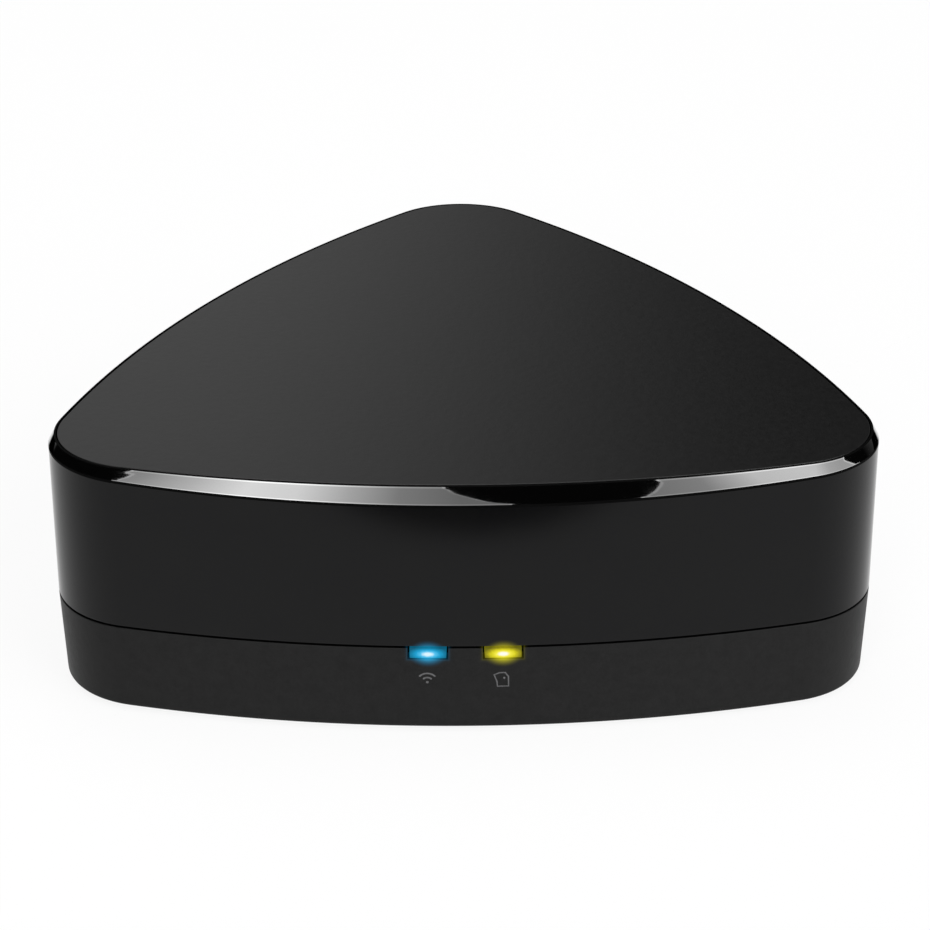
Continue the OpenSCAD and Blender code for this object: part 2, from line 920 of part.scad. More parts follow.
module radio_chip() {
    color("#202022")
    at_share(radio_place_share, board_top_z + radio_size.z)
    translate([-radio_chip_size.x / 2, shield_place - radio_chip_size.y / 2, 0])
    cube(radio_chip_size);
}

// A folded can, open below, with a row of vents
module radio_shield() {
    color("#b8bab6")
    at_share(radio_place_share, board_top_z + radio_size.z)
    translate([0, shield_place, 0])
    difference() {
        translate([-shield_size.x / 2, -shield_size.y / 2, 0])
        cube(shield_size);
        translate([-shield_size.x / 2 + shield_t, -shield_size.y / 2 + shield_t, -overrun])
        cube([shield_size.x - 2 * shield_t, shield_size.y - 2 * shield_t, shield_size.z - shield_t + overrun]);
        for (x = [-1, 1], y = [-1, 0, 1])
            translate([x * shield_vent_spacing / 2, y * shield_vent_spacing, shield_size.z - shield_t - overrun])
            cylinder(h = shield_t + 2 * overrun, d = shield_vent_d);
    }
}

// Centre line of the aerial: a straight leg that eases into the turns
function coil_point(i) =
    let (
        r = (coil_d - coil_wire_d) / 2,
        ease = min(i / coil_lead_in, 1),
        turn = 360 / coil_steps * (i < coil_lead_in ? ease * i / 2 : i - coil_lead_in / 2),
        climb = coil_spacing * max(i - coil_lead_in, 0) / coil_steps,
        rise = coil_leg + coil_wire_d * (2 * ease - ease * ease)
    )
    concat(polar(r, turn), rise + climb);

function coil_path() = concat(
    [[(coil_d - coil_wire_d) / 2, 0, 0]],
    [for (i = [0:coil_turns * coil_steps + coil_lead_in]) coil_point(i)]
);

// A six-sided ring square to the path
function coil_ring(path, i) =
    let (
        last = len(path) - 1,
        ahead = path[min(i + 1, last)] - path[max(i - 1, 0)],
        along = i == 0 ? [0, 0, 1] : ahead / norm(ahead),
        out = [path[i].x, path[i].y, 0] / norm([path[i].x, path[i].y]),
        side = cross(along, out) / norm(cross(along, out)),
        up = cross(side, along)
    )
    [
        for (k = [0:coil_sides - 1])
            let (a = 360 * k / coil_sides)
            path[i] + coil_wire_d / 2 * (cos(a) * up + sin(a) * side)
    ];

module coil_antenna() {
    path = coil_path();
    color("#c98f5a")
    at_share(coil_place_share, board_top_z)
    loft([for (i = [0:len(path) - 1]) coil_ring(path, i)]);
}

// The socket's sheet-metal shell: flat on the board, its outer corners cut
module power_socket() {
    color("#c4c6c8")
    at_corner(rear, socket_face - socket_sink - socket_l)
    translate([0, 0, socket_z])
    rotate([90, 0, 90])
    difference() {
        linear_extrude(socket_l)
        polygon(socket_outline(0));
        translate([0, 0, 2 * socket_wall])
        linear_extrude(socket_l)
        polygon(socket_outline(socket_wall));
    }
}

function socket_outline(inset) = [
    [-socket_w / 2 + inset, socket_h / 2 - inset],
    [-socket_w / 2 + inset, -socket_h / 2 + socket_cut + inset / 2],
    [-socket_w / 2 + socket_cut + inset / 2, -socket_h / 2 + inset],
    [socket_w / 2 - socket_cut - inset / 2, -socket_h / 2 + inset],
    [socket_w / 2 - inset, -socket_h / 2 + socket_cut + inset / 2],
    [socket_w / 2 - inset, socket_h / 2 - inset]
];

// The moulded insert: a block at the back of the shell and the contact tongue
module socket_insert() {
    color("#151515")
    at_corner(rear, socket_face - socket_sink - socket_l + 2 * socket_wall)
    translate([0, 0, socket_z])
    rotate([90, 0, 90]) {
        linear_extrude(insert_base_l)
        polygon(socket_outline(socket_wall + insert_play));
        translate([-tongue_plate_w / 2, -tongue_plate_t / 2, insert_base_l / 2])
        cube([tongue_plate_w, tongue_plate_t, insert_base_l / 2 + tongue_plate_l]);
    }
}

// The switch's housing, open below, with four legs up to the board
module switch_body() {
    color("#1c1c1c")
    at_share(switch_place_share, 0)
    difference() {
        union() {
            translate([-switch_w / 2, -switch_w / 2, cavity_z])
            cube([switch_w, switch_w, board_z - cavity_z]);
            for (x = [-1, 1], y = [-1, 1])
                translate([
                    x * switch_w * leg_spread_share / 2 - leg_w / 2,
                    y > 0 ? switch_w / 2 - overrun : -switch_w / 2 - leg_out,
                    board_z - leg_t
                ])
                cube([leg_w, leg_out + overrun, leg_t]);
        }
        translate([0, 0, cavity_z - overrun])
        cylinder(h = cavity_h + overrun, d = stem_d + 2 * (flange_out + flange_play));
    }
}

// The metal plate that holds the plunger in, with four rivet heads
module switch_cover() {
    color("#b4b4b0")
    at_share(switch_place_share, cover_z)
    difference() {
        union() {
            translate([-switch_w / 2, -switch_w / 2, 0])
            cube([switch_w, switch_w, cover_t]);
            for (x = [-1, 1], y = [-1, 1])
                translate([x, y, 0] * switch_w * rivet_spread_share / 2 - [0, 0, rivet_h])
                cylinder(h = rivet_h + cover_t / 2, d = rivet_d);
        }
        translate([0, 0, -rivet_h - overrun])
        cylinder(h = cover_t + rivet_h + 2 * overrun, d = stem_d + 2 * stem_play);
    }
}

// The sprung metal dome: its rim on the housing, its crown towards the plunger
module switch_dome() {
    half = stem_d / 2 + flange_out;
    rise = dome_h - dome_t;
    bend = (half * half + rise * rise) / (2 * rise);
    sweep = asin(half / bend);
    color("#d0d0cc")
    at_share(switch_place_share, cavity_z + cavity_h - dome_h + bend)
    rotate_extrude()
    polygon(concat(
        [for (i = [0:dome_steps]) polar(bend, -90 + sweep * i / dome_steps)],
        [for (i = [dome_steps:-1:0]) polar(bend - dome_t, -90 + sweep * i / dome_steps)]
    ));
}

// The plunger: a flange inside the housing and a stem towards the pin hole
module switch_plunger() {
    color("#3b3b3b")
    at_share(switch_place_share, 0)
    rotate_extrude()
    polygon([
        [0, stem_z],
        [stem_d / 2 - edge_c, stem_z],
        [stem_d / 2, stem_z + edge_c],
        [stem_d / 2, cavity_z],
        [stem_d / 2 + flange_out, cavity_z],
        [stem_d / 2 + flange_out, cavity_z + flange_h],
        [0, cavity_z + flange_h]
    ]);
}

module foot(corner) {
    color("#161616")
    at_corner(corner, column_reach)
    rotate_extrude()
    polygon([
        [0, 0],
        [foot_d / 2 - foot_edge, 0],
        [foot_d / 2 - foot_edge * (1 - sin(45)), foot_edge * (1 - sin(45))],
        [foot_d / 2, foot_edge],
        [foot_d / 2, foot_t],
        [0, foot_t]
    ]);
}

module foot_rear() {
    foot(rear);
}

module foot_left() {
    foot(left);
}

module foot_right() {
    foot(right);
}

// A pan-head screw pointing up, with a cross slot and a blunt tip
module screw(d, l, head_d, head_height) {
    difference() {
        rotate_extrude()
        polygon([
            [0, -head_height],
            [head_d / 2 - head_height / 3, -head_height],
            [head_d / 2, -head_height * 2 / 3],
            [head_d / 2, 0],
            [d / 2, 0],
            [d / 2, l - d / 2],
            [d / 4, l],
            [0, l]
        ]);
        for (a = [0, 90])
            rotate(a)
            translate([-head_d * slot_length_share / 2, -slot_w / 2, -head_height - overrun])
            cube([head_d * slot_length_share, slot_w, overrun + head_height * slot_depth_share]);
    }
}

module case_screws() {
    color("#8f9094")
    for (corner = [rear, left, right])
        at_corner(corner, column_reach)
        translate([0, 0, seat_z])
        screw(case_screw_d, case_screw_l, case_head_d, head_h);
}

module board_screws() {
    color("#a9abad")
    for (place_share = standoff_places_share)
        at_share(place_share, board_top_z)
        rotate([180, 0, 0])
        screw(board_screw_d, board_screw_l, board_head_d, board_head_h);
}

top_panel();
panel_adhesive();
upper_shell();
base_shell();
network_light_guide();
status_light_guide();
network_lamp();
status_lamp();
circuit_board();
ir_emitter_front_left();
ir_emitter_front_right();
ir_emitter_left_front();
ir_emitter_left_rear();
ir_emitter_right_front();
ir_emitter_right_rear();
ir_receiver();
main_chip();
memory_chip();
clock_crystal();
radio_board();
radio_chip();
radio_shield();
remote_radio_chip();
remote_radio_crystal();
coil_antenna();
voltage_regulator();
capacitors();
driver_transistors();
chip_resistors();
temperature_sensor();
power_socket();
socket_insert();
switch_body();
switch_cover();
switch_dome();
switch_plunger();
foot_rear();
foot_left();
foot_right();
case_screws();
board_screws();
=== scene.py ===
import math

import bmesh
import bpy
from mathutils import Matrix, Vector


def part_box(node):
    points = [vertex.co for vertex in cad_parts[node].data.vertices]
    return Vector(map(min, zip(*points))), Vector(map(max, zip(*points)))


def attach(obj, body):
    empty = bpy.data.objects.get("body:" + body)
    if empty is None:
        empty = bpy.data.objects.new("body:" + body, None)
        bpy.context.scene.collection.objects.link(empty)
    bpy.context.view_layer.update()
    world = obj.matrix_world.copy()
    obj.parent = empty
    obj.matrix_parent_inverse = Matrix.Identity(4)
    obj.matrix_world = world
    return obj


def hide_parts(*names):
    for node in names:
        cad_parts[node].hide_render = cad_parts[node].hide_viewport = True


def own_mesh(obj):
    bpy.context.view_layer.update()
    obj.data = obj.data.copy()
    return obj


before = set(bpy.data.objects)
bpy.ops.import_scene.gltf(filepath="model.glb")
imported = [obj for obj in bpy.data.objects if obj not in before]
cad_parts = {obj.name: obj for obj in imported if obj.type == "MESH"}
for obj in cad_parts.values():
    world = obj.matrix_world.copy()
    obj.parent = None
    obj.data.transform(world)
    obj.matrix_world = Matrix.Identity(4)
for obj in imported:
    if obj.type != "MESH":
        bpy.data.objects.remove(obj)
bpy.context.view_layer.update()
scene = bpy.context.scene
print("frame loaded:", len(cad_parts), "CAD nodes")

# Small helpers


def linear(hexText):  # an sRGB hex colour as linear numbers
    channels = [int(hexText[i:i + 2], 16) / 255 for i in (1, 3, 5)]
    return tuple(c / 12.92 if c <= 0.04045 else ((c + 0.055) / 1.055) ** 2.4 for c in channels) + (1.0,)


def addNode(tree, kind, settings=None, links=None):  # one node with its settings and links
    made = tree.nodes.new("ShaderNode" + kind)
    for key, value in (settings or {}).items():
        if isinstance(key, str) and hasattr(made, key):
            setattr(made, key, value)
        else:
            made.inputs[key].default_value = value
    for key, source in (links or {}).items():  # a node stands for its first output
        socket = source if isinstance(source, bpy.types.NodeSocket) else source.outputs[0]
        tree.links.new(socket, made.inputs[key])
    return made


def newMaterial(name):  # an empty node tree, and where a point lies on its piece
    material = bpy.data.materials.new(name)
    material.use_nodes = True
    tree = material.node_tree
    tree.nodes.clear()
    return material, tree, addNode(tree, "TexCoord").outputs["Object"]


def coated(material, shader):  # the material with its shader joined to the output
    addNode(material.node_tree, "OutputMaterial", links={0: shader})
    return material


def setRamp(ramp, stops):  # stops are (position, linear colour)
    elements = ramp.color_ramp.elements
    while len(elements) > 1:
        elements.remove(elements[-1])
    elements[0].position, elements[0].color = stops[0]
    for position, colour in stops[1:]:
        elements.new(position).color = colour
    return ramp


def perMetre(millimetres):  # texture scale whose features are that big
    return 1000 / millimetres


# The plan: three corner arcs and three long side arcs, in mm about the triangle's centre

plan = {
    "bodyWidth": 120.0,
    "sideRadius": 189.0,
    "cornerRadius": 14.6,
    "cornerSteps": 40,
    "sideSteps": 56,
    "baseZ": 0.8,
    "seamZ": 14.3,
    "topZ": 39.3,
    "columnIn": 17.0,
}
cos30 = math.cos(math.radians(30))
cornerCentre = (plan["bodyWidth"] / 2 - plan["cornerRadius"]) / cos30
sideCentre = math.sqrt((plan["sideRadius"] - plan["cornerRadius"]) ** 2 - (cornerCentre * cos30) ** 2)
sideCentre -= cornerCentre / 2
sideHalf = math.asin(cornerCentre * cos30 / (plan["sideRadius"] - plan["cornerRadius"]))
cornerHalf = math.radians(60) - sideHalf
sideReach = plan["sideRadius"] - sideCentre
cornerReach = cornerCentre + plan["cornerRadius"]
centreY = (cornerReach - sideReach) / 2
columnReach = cornerReach - plan["columnIn"]


def way(degrees):
    return Vector((math.cos(math.radians(degrees)), math.sin(math.radians(degrees)), 0))


def atCorner(corner, reach, z=0.0):  # a frame with +X outwards through a corner, 0 is the rear one
    degrees = 90 + 120 * corner
    turned = Matrix.Rotation(math.radians(degrees), 4, "Z")
    return Matrix.Translation(way(degrees) * reach + Vector((0, 0, z))) @ turned


def onFront(x, z=0.0, inset=0.0):  # a frame on the front side's arc with +X outwards
    turn = math.degrees(math.asin(x / plan["sideRadius"]))
    spot = -way(270) * sideCentre + way(270 + turn) * (plan["sideRadius"] - inset)
    return Matrix.Translation(spot + Vector((0, 0, z))) @ Matrix.Rotation(math.radians(270 + turn), 4, "Z")


def atShare(x, y):  # a place given as shares of the distance to a side
    return Matrix.Translation((x * sideReach, y * sideReach, 0))


# the chamfer is tall along the sides and low round the corners
def chamferDrop(point, sideDrop=2.6, cornerDrop=1.4):
    share = (point.x ** 2 + point.y ** 2 - sideReach ** 2) / (cornerReach ** 2 - sideReach ** 2)
    return sideDrop + (cornerDrop - sideDrop) * share


# carries (inset, height) points round the plan by six spins, each vertex keeps its ring's number
def sweepProfile(points):
    mesh = bmesh.new()
    ring = mesh.verts.layers.int.new("ring")
    start = 90 - math.degrees(cornerHalf)
    chain = []
    for number, (inset, height) in enumerate(points):
        spot = way(90) * cornerCentre + way(start) * (plan["cornerRadius"] - inset)
        vertex = mesh.verts.new((spot.x, spot.y, height))
        vertex[ring] = number
        chain.append(vertex)
    lead = chain + [mesh.edges.new(pair) for pair in zip(chain, chain[1:])]
    for turn in range(3):
        arcs = (
            (way(90 + 120 * turn) * cornerCentre, 2 * cornerHalf, plan["cornerSteps"]),
            (-way(150 + 120 * turn) * sideCentre, 2 * sideHalf, plan["sideSteps"]),
        )
        for centre, angle, steps in arcs:
            spun = bmesh.ops.spin(mesh, geom=lead, cent=centre, axis=(0, 0, 1), dvec=(0, 0, 0),
                                  angle=angle, steps=steps, use_merge=False, use_duplicate=False)
            lead = spun["geom_last"]
    bmesh.ops.remove_doubles(mesh, verts=mesh.verts[:], dist=0.001)
    return mesh, ring


def closeShell(mesh):  # fills the two open rings and turns the faces outwards
    bmesh.ops.holes_fill(mesh, edges=[e for e in mesh.edges if e.is_boundary], sides=0)
    bmesh.ops.recalc_face_normals(mesh, faces=mesh.faces[:])


# rounds one ring's edges; an odd bevel's middle strip may take either side's material, so it can be given one
def bevelRing(mesh, ring, number, width, segments=3, middle=None, middleSlopes=(0.5, 0.87)):
    edges = [e for e in mesh.edges
             if e.verts[0][ring] == number and e.verts[1][ring] == number and not e.is_boundary]
    made = bmesh.ops.bevel(mesh, geom=edges, offset=width, offset_type="OFFSET", segments=segments,
                           profile=0.5, affect="EDGES", material=-1, clamp_overlap=True)
    for face in made["faces"] if middle is not None else ():
        face.normal_update()
        if middleSlopes[0] < abs(face.normal.z) < middleSlopes[1]:
            face.material_index = middle
    return made["faces"]


def makePiece(name, mesh, materials, scale=0.001, shift=True):  # a finished object at the origin, in metres
    if shift:
        bmesh.ops.translate(mesh, verts=mesh.verts[:], vec=(0, -centreY, 0))
    bmesh.ops.scale(mesh, verts=mesh.verts[:], vec=(scale, scale, scale))
    data = bpy.data.meshes.new(name)
    mesh.to_mesh(data)
    mesh.free()
    piece = bpy.data.objects.new(name, data)
    scene.collection.objects.link(piece)
    for material in materials:
        data.materials.append(material)
    return piece


def smoothPiece(piece, degrees=32):
    for face in piece.data.polygons:
        face.use_smooth = True
    piece.data.set_sharp_from_angle(angle=math.radians(degrees))
    even = piece.modifiers.new("evenNormals", "WEIGHTED_NORMAL")
    even.keep_sharp = True  # and big faces keep their normals beside narrow bevels
    return piece


def combine(piece, tool, operation):  # one exact Boolean, applied, and the tool removed
    cut = piece.modifiers.new("combine", "BOOLEAN")
    cut.object, cut.operation, cut.solver = tool, operation, "EXACT"
    bpy.context.view_layer.update()
    result = bpy.data.meshes.new_from_object(piece.evaluated_get(bpy.context.evaluated_depsgraph_get()))
    piece.modifiers.remove(cut)
    result.name = piece.data.name
    piece.data = result
    bpy.data.objects.remove(tool)


def addPost(mesh, place, radius, low, high, sides=48):  # an upright cylinder
    made = bmesh.ops.create_cone(mesh, cap_ends=True, segments=sides, radius1=radius, radius2=radius,
                                 depth=high - low)
    place = place @ Matrix.Translation((0, 0, (low + high) / 2))
    bmesh.ops.transform(mesh, matrix=place, verts=made["verts"])


def addBlock(mesh, place, low, high, radius=0.0):  # a box between two corners, its edges along X rounded
    size = [b - a for a, b in zip(low, high)]
    middle = [(a + b) / 2 for a, b in zip(low, high)]
    made = bmesh.ops.create_cube(mesh, size=1.0)
    verts = made["verts"]
    bmesh.ops.scale(mesh, vec=size, verts=verts)
    if radius:
        edges = [e for e in {e for v in verts for e in v.link_edges}
                 if all(abs(e.verts[0].co[i] - e.verts[1].co[i]) < 1e-6 for i in (1, 2))]
        made = bmesh.ops.bevel(mesh, geom=edges, offset=radius, segments=6, profile=0.5, affect="EDGES",
                               material=-1, clamp_overlap=True)
        verts = list({v for f in made["faces"] for e in f.edges for face in e.link_faces for v in face.verts})
    bmesh.ops.transform(mesh, matrix=place @ Matrix.Translation(middle), verts=verts)


def between(table, value):  # reads a table of (value, result) pairs, straight lines between them
    if value <= table[0][0]:
        return table[0][1]
    for (low, first), (high, last) in zip(table, table[1:]):
        if value <= high:
            return first + (last - first) * (value - low) / (high - low)
    return table[-1][1]


# Lit windows: their places, colours and the light that spills round them

windows = {
    "network": {"x": -5.35, "core": "#dcf5ff", "near": "#58c6f2", "body": "#1a9fd0", "side": "#0f80a6",
                "end": "#0b5f7c", "spill": "#1fa2d6"},
    "status": {"x": 5.35, "core": "#fffff0", "near": "#f8ee4a", "body": "#d8cf1e", "side": "#9c9418",
               "end": "#6c6812", "spill": "#d0c812"},
}
windowShape = {
    "width": 5.8, "height": 1.85, "sill": 12.3, "guideLow": 12.5, "guideHigh": 14.15, "guideWidth": 5.2,
    "glowReach": (2.9, 9, 1.25), "glowSink": 0.1,
    "haloX": 3.2, "haloY": 14, "haloZ": 2.4, "haloPower": 2.4, "haloStrength": 2.4,
    "rimWidth": 0.13, "rimStrength": 0.12, "rimFlatness": (1, 0.25, 1),
    "rimStart": {"From Min": 0.00001, "From Max": 0.00005},
    # the seam shades the top of a window
    "topShade": {"From Min": 0.01395, "From Max": 0.0141, "To Min": 1.0, "To Max": 0.85},
}
windowMiddleZ = 13.25


def spillLight(tree, position):  # coloured light round each window, painted onto the object's surface as emission
    total = None
    for window in windows.values():
        centre = Vector((window["x"], 0, windowMiddleZ)) * 0.001
        centre.y = (onFront(window["x"]).translation.y - centreY) * 0.001
        aside = addNode(tree, "VectorMath", {"operation": "SUBTRACT", 1: centre}, {0: position})
        shape = windowShape
        size = [1000 / shape[key] for key in ("haloX", "haloY", "haloZ")]
        scaled = addNode(tree, "VectorMath", {"operation": "MULTIPLY", 1: size}, {0: aside})
        ball = addNode(tree, "TexGradient", {"gradient_type": "SPHERICAL"}, {"Vector": scaled})
        halo = addNode(tree, "Math", {"operation": "POWER", 1: shape["haloPower"]}, {0: ball.outputs["Fac"]})
        halo = addNode(tree, "Math", {"operation": "MULTIPLY", 1: shape["haloStrength"]}, {0: halo})
        flat = addNode(tree, "VectorMath", {"operation": "MULTIPLY", 1: shape["rimFlatness"]}, {0: aside})
        size = addNode(tree, "VectorMath", {"operation": "ABSOLUTE"}, {0: flat})
        half = (shape["width"] * 0.0005, 0.001, shape["height"] * 0.0005)
        over = addNode(tree, "VectorMath", {"operation": "SUBTRACT", 1: half}, {0: size})
        over = addNode(tree, "VectorMath", {"operation": "MAXIMUM", 1: (0, 0, 0)}, {0: over})
        away = addNode(tree, "VectorMath", {"operation": "LENGTH"}, {0: over})
        fade = addNode(tree, "Math", {"operation": "MULTIPLY", 1: -1000 / shape["rimWidth"]},
                       {0: away.outputs["Value"]})
        rim = addNode(tree, "Math", {"operation": "EXPONENT"}, {0: fade})
        rim = addNode(tree, "Math", {"operation": "MULTIPLY", 1: shape["rimStrength"]}, {0: rim})
        outside = addNode(tree, "MapRange", shape["rimStart"], {"Value": away.outputs["Value"]})
        rim = addNode(tree, "Math", {"operation": "MULTIPLY"}, {0: rim, 1: outside})
        both = addNode(tree, "Math", {"operation": "ADD"}, {0: halo, 1: rim})
        lit = addNode(tree, "VectorMath", {"operation": "SCALE", 0: linear(window["spill"])[:3]},
                      {"Scale": both})
        if total is not None:
            lit = addNode(tree, "VectorMath", {"operation": "ADD"}, {0: total, 1: lit})
        total = lit
    return total


# Materials


# injection-moulded plastic: cloudy colour, uneven gloss, and its tool's grain as a bump
def mouldedSurface(name, look):
    material, tree, place = newMaterial(name)
    cloud = addNode(tree, "TexNoise", {"Scale": perMetre(look["cloudMm"]), "Detail": 3.0}, {"Vector": place})
    fine = addNode(tree, "TexNoise", {"Scale": perMetre(look["grainMm"]), "Detail": 2.5, "Roughness": 0.6},
                   {"Vector": place})
    mixed = addNode(tree, "Math", {"operation": "ADD"}, {0: cloud.outputs["Fac"], 1: fine.outputs["Fac"]})
    mixed = addNode(tree, "Math", {"operation": "MULTIPLY", 1: 0.5}, {0: mixed})
    colours = setRamp(addNode(tree, "ValToRGB", links={"Fac": mixed}),
                      [(0.36, linear(look["dark"])), (0.64, linear(look["light"]))])
    gloss = addNode(tree, "MapRange", {"From Min": 0.3, "From Max": 0.7, "To Min": look["gloss"][0],
                                       "To Max": look["gloss"][1]}, {"Value": mixed})
    height = fine.outputs["Fac"]
    if look.get("pores"):  # the rounded cells of a leather-like grain
        cells = addNode(tree, "TexVoronoi",
                        {"feature": "SMOOTH_F1", "Scale": perMetre(look["pores"]), "Smoothness": 0.6},
                        {"Vector": place})
        height = addNode(tree, "Math", {"operation": "MULTIPLY_ADD", 1: 0.8},
                         {0: cells.outputs["Distance"], 2: height})
    bump = addNode(tree, "Bump", {"Strength": look["bump"], "Distance": look["depthMm"] * 0.001},
                   {"Height": height})
    links = {"Base Color": colours, "Roughness": gloss, "Normal": bump}
    settings = {"IOR": look["ior"], "Specular IOR Level": look["specular"]}
    # painted light: the windows' glow is painted into this surface as emission
    if look.get("lit"):
        links["Emission Color"] = spillLight(tree, place)
        settings["Emission Strength"] = 1.0
    shader = addNode(tree, "BsdfPrincipled", settings, links)
    return coated(material, shader)


# Infrared-pass polycarbonate from a satin-polished tool: almost black, even, a soft sheen at grazing angles
satinPolycarbonate = mouldedSurface("satinPolycarbonate", {
    "dark": "#070708", "light": "#090909", "cloudMm": 9.0, "grainMm": 0.35, "gloss": (0.11, 0.14),
    "bump": 0.02, "depthMm": 0.01, "ior": 1.45, "specular": 0.20, "lit": True})
# Painted shade: the same polycarbonate, darker and duller, in the seam's groove, the dark line under the
# chamfer and the rim by the plate
paintedShadeUndercut = mouldedSurface("paintedShadeUndercut", {
    "dark": "#020202", "light": "#040404", "cloudMm": 3.0, "grainMm": 0.2, "gloss": (0.6, 0.7),
    "bump": 0.05, "depthMm": 0.01, "ior": 1.45, "specular": 0.04, "lit": True})
# ABS with a spark-eroded finish: matte, a fine even grain that glitters a little towards the light
sparkErodedAbs = mouldedSurface("sparkErodedAbs", {
    "dark": "#0d0d0d", "light": "#101010", "cloudMm": 0.9, "grainMm": 0.28, "pores": 1.2,
    "gloss": (0.28, 0.34), "bump": 0.32, "depthMm": 0.03, "ior": 1.45, "specular": 0.45})
# ABS with an etched leather grain: matte, soft shallow cells about a millimetre wide
leatherGrainAbs = mouldedSurface("leatherGrainAbs", {
    "dark": "#151515", "light": "#1a1a1a", "cloudMm": 1.5, "grainMm": 0.45, "pores": 1.1,
    "gloss": (0.42, 0.52), "bump": 0.28, "depthMm": 0.05, "ior": 1.45, "specular": 0.12, "lit": True})
# Silicone rubber feet: dull black with a dusty, slightly uneven skin
siliconeRubber = mouldedSurface("siliconeRubber", {
    "dark": "#131313", "light": "#1d1d1d", "cloudMm": 2.5, "grainMm": 0.2, "gloss": (0.62, 0.78),
    "bump": 0.25, "depthMm": 0.02, "ior": 1.41, "specular": 0.3})
# Glass-filled nylon of switch, receiver and socket insert: black with a faint flow pattern
glassFilledNylon = mouldedSurface("glassFilledNylon", {
    "dark": "#121213", "light": "#222223", "cloudMm": 0.9, "grainMm": 0.12, "gloss": (0.38, 0.52),
    "bump": 0.2, "depthMm": 0.01, "ior": 1.53, "specular": 0.4})
# Acetal plunger: smooth dark grey, slightly waxy
acetalGrey = mouldedSurface("acetalGrey", {
    "dark": "#37373a", "light": "#414145", "cloudMm": 1.5, "grainMm": 0.1, "gloss": (0.28, 0.36),
    "bump": 0.08, "depthMm": 0.01, "ior": 1.48, "specular": 0.5})
# Acrylic foam tape under the plate: off-white, open-celled
acrylicFoamTape = mouldedSurface("acrylicFoamTape", {
    "dark": "#c9c3b4", "light": "#dcd7cb", "cloudMm": 3.0, "grainMm": 0.3, "pores": 0.5, "gloss": (0.55, 0.7),
    "bump": 0.35, "depthMm": 0.03, "ior": 1.46, "specular": 0.4})
# Screen-printed ink of the two small marks: flat mid grey with slightly uneven cover
printedInk = mouldedSurface("printedInk", {
    "dark": "#484849", "light": "#565657", "cloudMm": 0.8, "grainMm": 0.1, "gloss": (0.5, 0.6),
    "bump": 0.1, "depthMm": 0.005, "ior": 1.48, "specular": 0.3})


# polycarbonate from a mirror-polished tool: black, sharp reflections, faint polishing haze
def polishedSurface(name, ior):
    material, tree, place = newMaterial(name)
    haze = addNode(tree, "TexNoise", {"Scale": perMetre(1.6), "Detail": 4.0}, {"Vector": place})
    gloss = addNode(tree, "MapRange", {"From Min": 0.3, "From Max": 0.7, "To Min": 0.025, "To Max": 0.05},
                    {"Value": haze.outputs["Fac"]})
    bump = addNode(tree, "Bump", {"Strength": 0.03, "Distance": 0.00001}, {"Height": haze.outputs["Fac"]})
    shader = addNode(tree, "BsdfPrincipled", {
        "Base Color": linear("#020202"), "IOR": ior,
        "Coat Weight": 1.0, "Coat Roughness": 0.02, "Coat IOR": ior}, {"Roughness": gloss, "Normal": bump})
    return coated(material, shader)


# frosted acrylic with a lamp behind it: white-hot middle, colour fading towards the ends
def litAcrylic(name, window):
    material, tree, place = newMaterial(name)
    centre = Vector((window["x"], onFront(window["x"]).translation.y - centreY,
                     windowMiddleZ - windowShape["glowSink"])) * 0.001
    aside = addNode(tree, "VectorMath", {"operation": "SUBTRACT", 1: centre}, {0: place})
    frost = addNode(tree, "TexNoise", {"Scale": perMetre(0.35), "Detail": 2.0}, {"Vector": place})
    shake = addNode(tree, "MapRange", {"To Min": -0.07, "To Max": 0.07}, {"Value": frost.outputs["Fac"]})
    size = [1000 / reach for reach in windowShape["glowReach"]]
    scaled = addNode(tree, "VectorMath", {"operation": "MULTIPLY", 1: size}, {0: aside})
    away = addNode(tree, "VectorMath", {"operation": "LENGTH"}, {0: scaled})
    away = addNode(tree, "Math", {"operation": "ADD"}, {0: away.outputs["Value"], 1: shake})
    glow = setRamp(addNode(tree, "ValToRGB", links={"Fac": away}), [
        (0.0, linear(window["core"])), (0.15, linear(window["core"])), (0.35, linear(window["near"])),
        (0.58, linear(window["body"])), (0.8, linear(window["side"])), (1.0, linear(window["end"]))])
    apart = addNode(tree, "SeparateXYZ", links={0: place})
    covered = addNode(tree, "MapRange", windowShape["topShade"], {"Value": apart.outputs["Z"]})
    bump = addNode(tree, "Bump", {"Strength": 0.1, "Distance": 0.00002}, {"Height": frost.outputs["Fac"]})
    shader = addNode(tree, "BsdfPrincipled", {
        "Base Color": linear("#020202"), "Roughness": 0.3, "IOR": 1.49, "Specular IOR Level": 0.06},
        {"Emission Color": glow, "Emission Strength": covered, "Normal": bump})
    return coated(material, shader)


# sheet, can or wire: fine drawn lines along one axis and slightly uneven plating
def platedMetal(name, look):
    material, tree, place = newMaterial(name)
    drawn = addNode(tree, "VectorMath", {"operation": "MULTIPLY", 1: look["drawn"]}, {0: place})
    lines = addNode(tree, "TexNoise", {"Scale": perMetre(look["lineMm"]), "Detail": 3.0}, {"Vector": drawn})
    cloud = addNode(tree, "TexNoise", {"Scale": perMetre(1.8), "Detail": 2.0}, {"Vector": place})
    colours = setRamp(addNode(tree, "ValToRGB", links={"Fac": cloud.outputs["Fac"]}),
                      [(0.35, linear(look["dark"])), (0.65, linear(look["light"]))])
    gloss = addNode(tree, "MapRange", {"From Min": 0.3, "From Max": 0.7, "To Min": look["gloss"][0],
                                       "To Max": look["gloss"][1]}, {"Value": lines.outputs["Fac"]})
    bump = addNode(tree, "Bump", {"Strength": 0.12, "Distance": 0.00001}, {"Height": lines.outputs["Fac"]})
    shader = addNode(tree, "BsdfPrincipled", {"Metallic": 1.0},
                     {"Base Color": colours, "Roughness": gloss, "Normal": bump})
    return coated(material, shader)


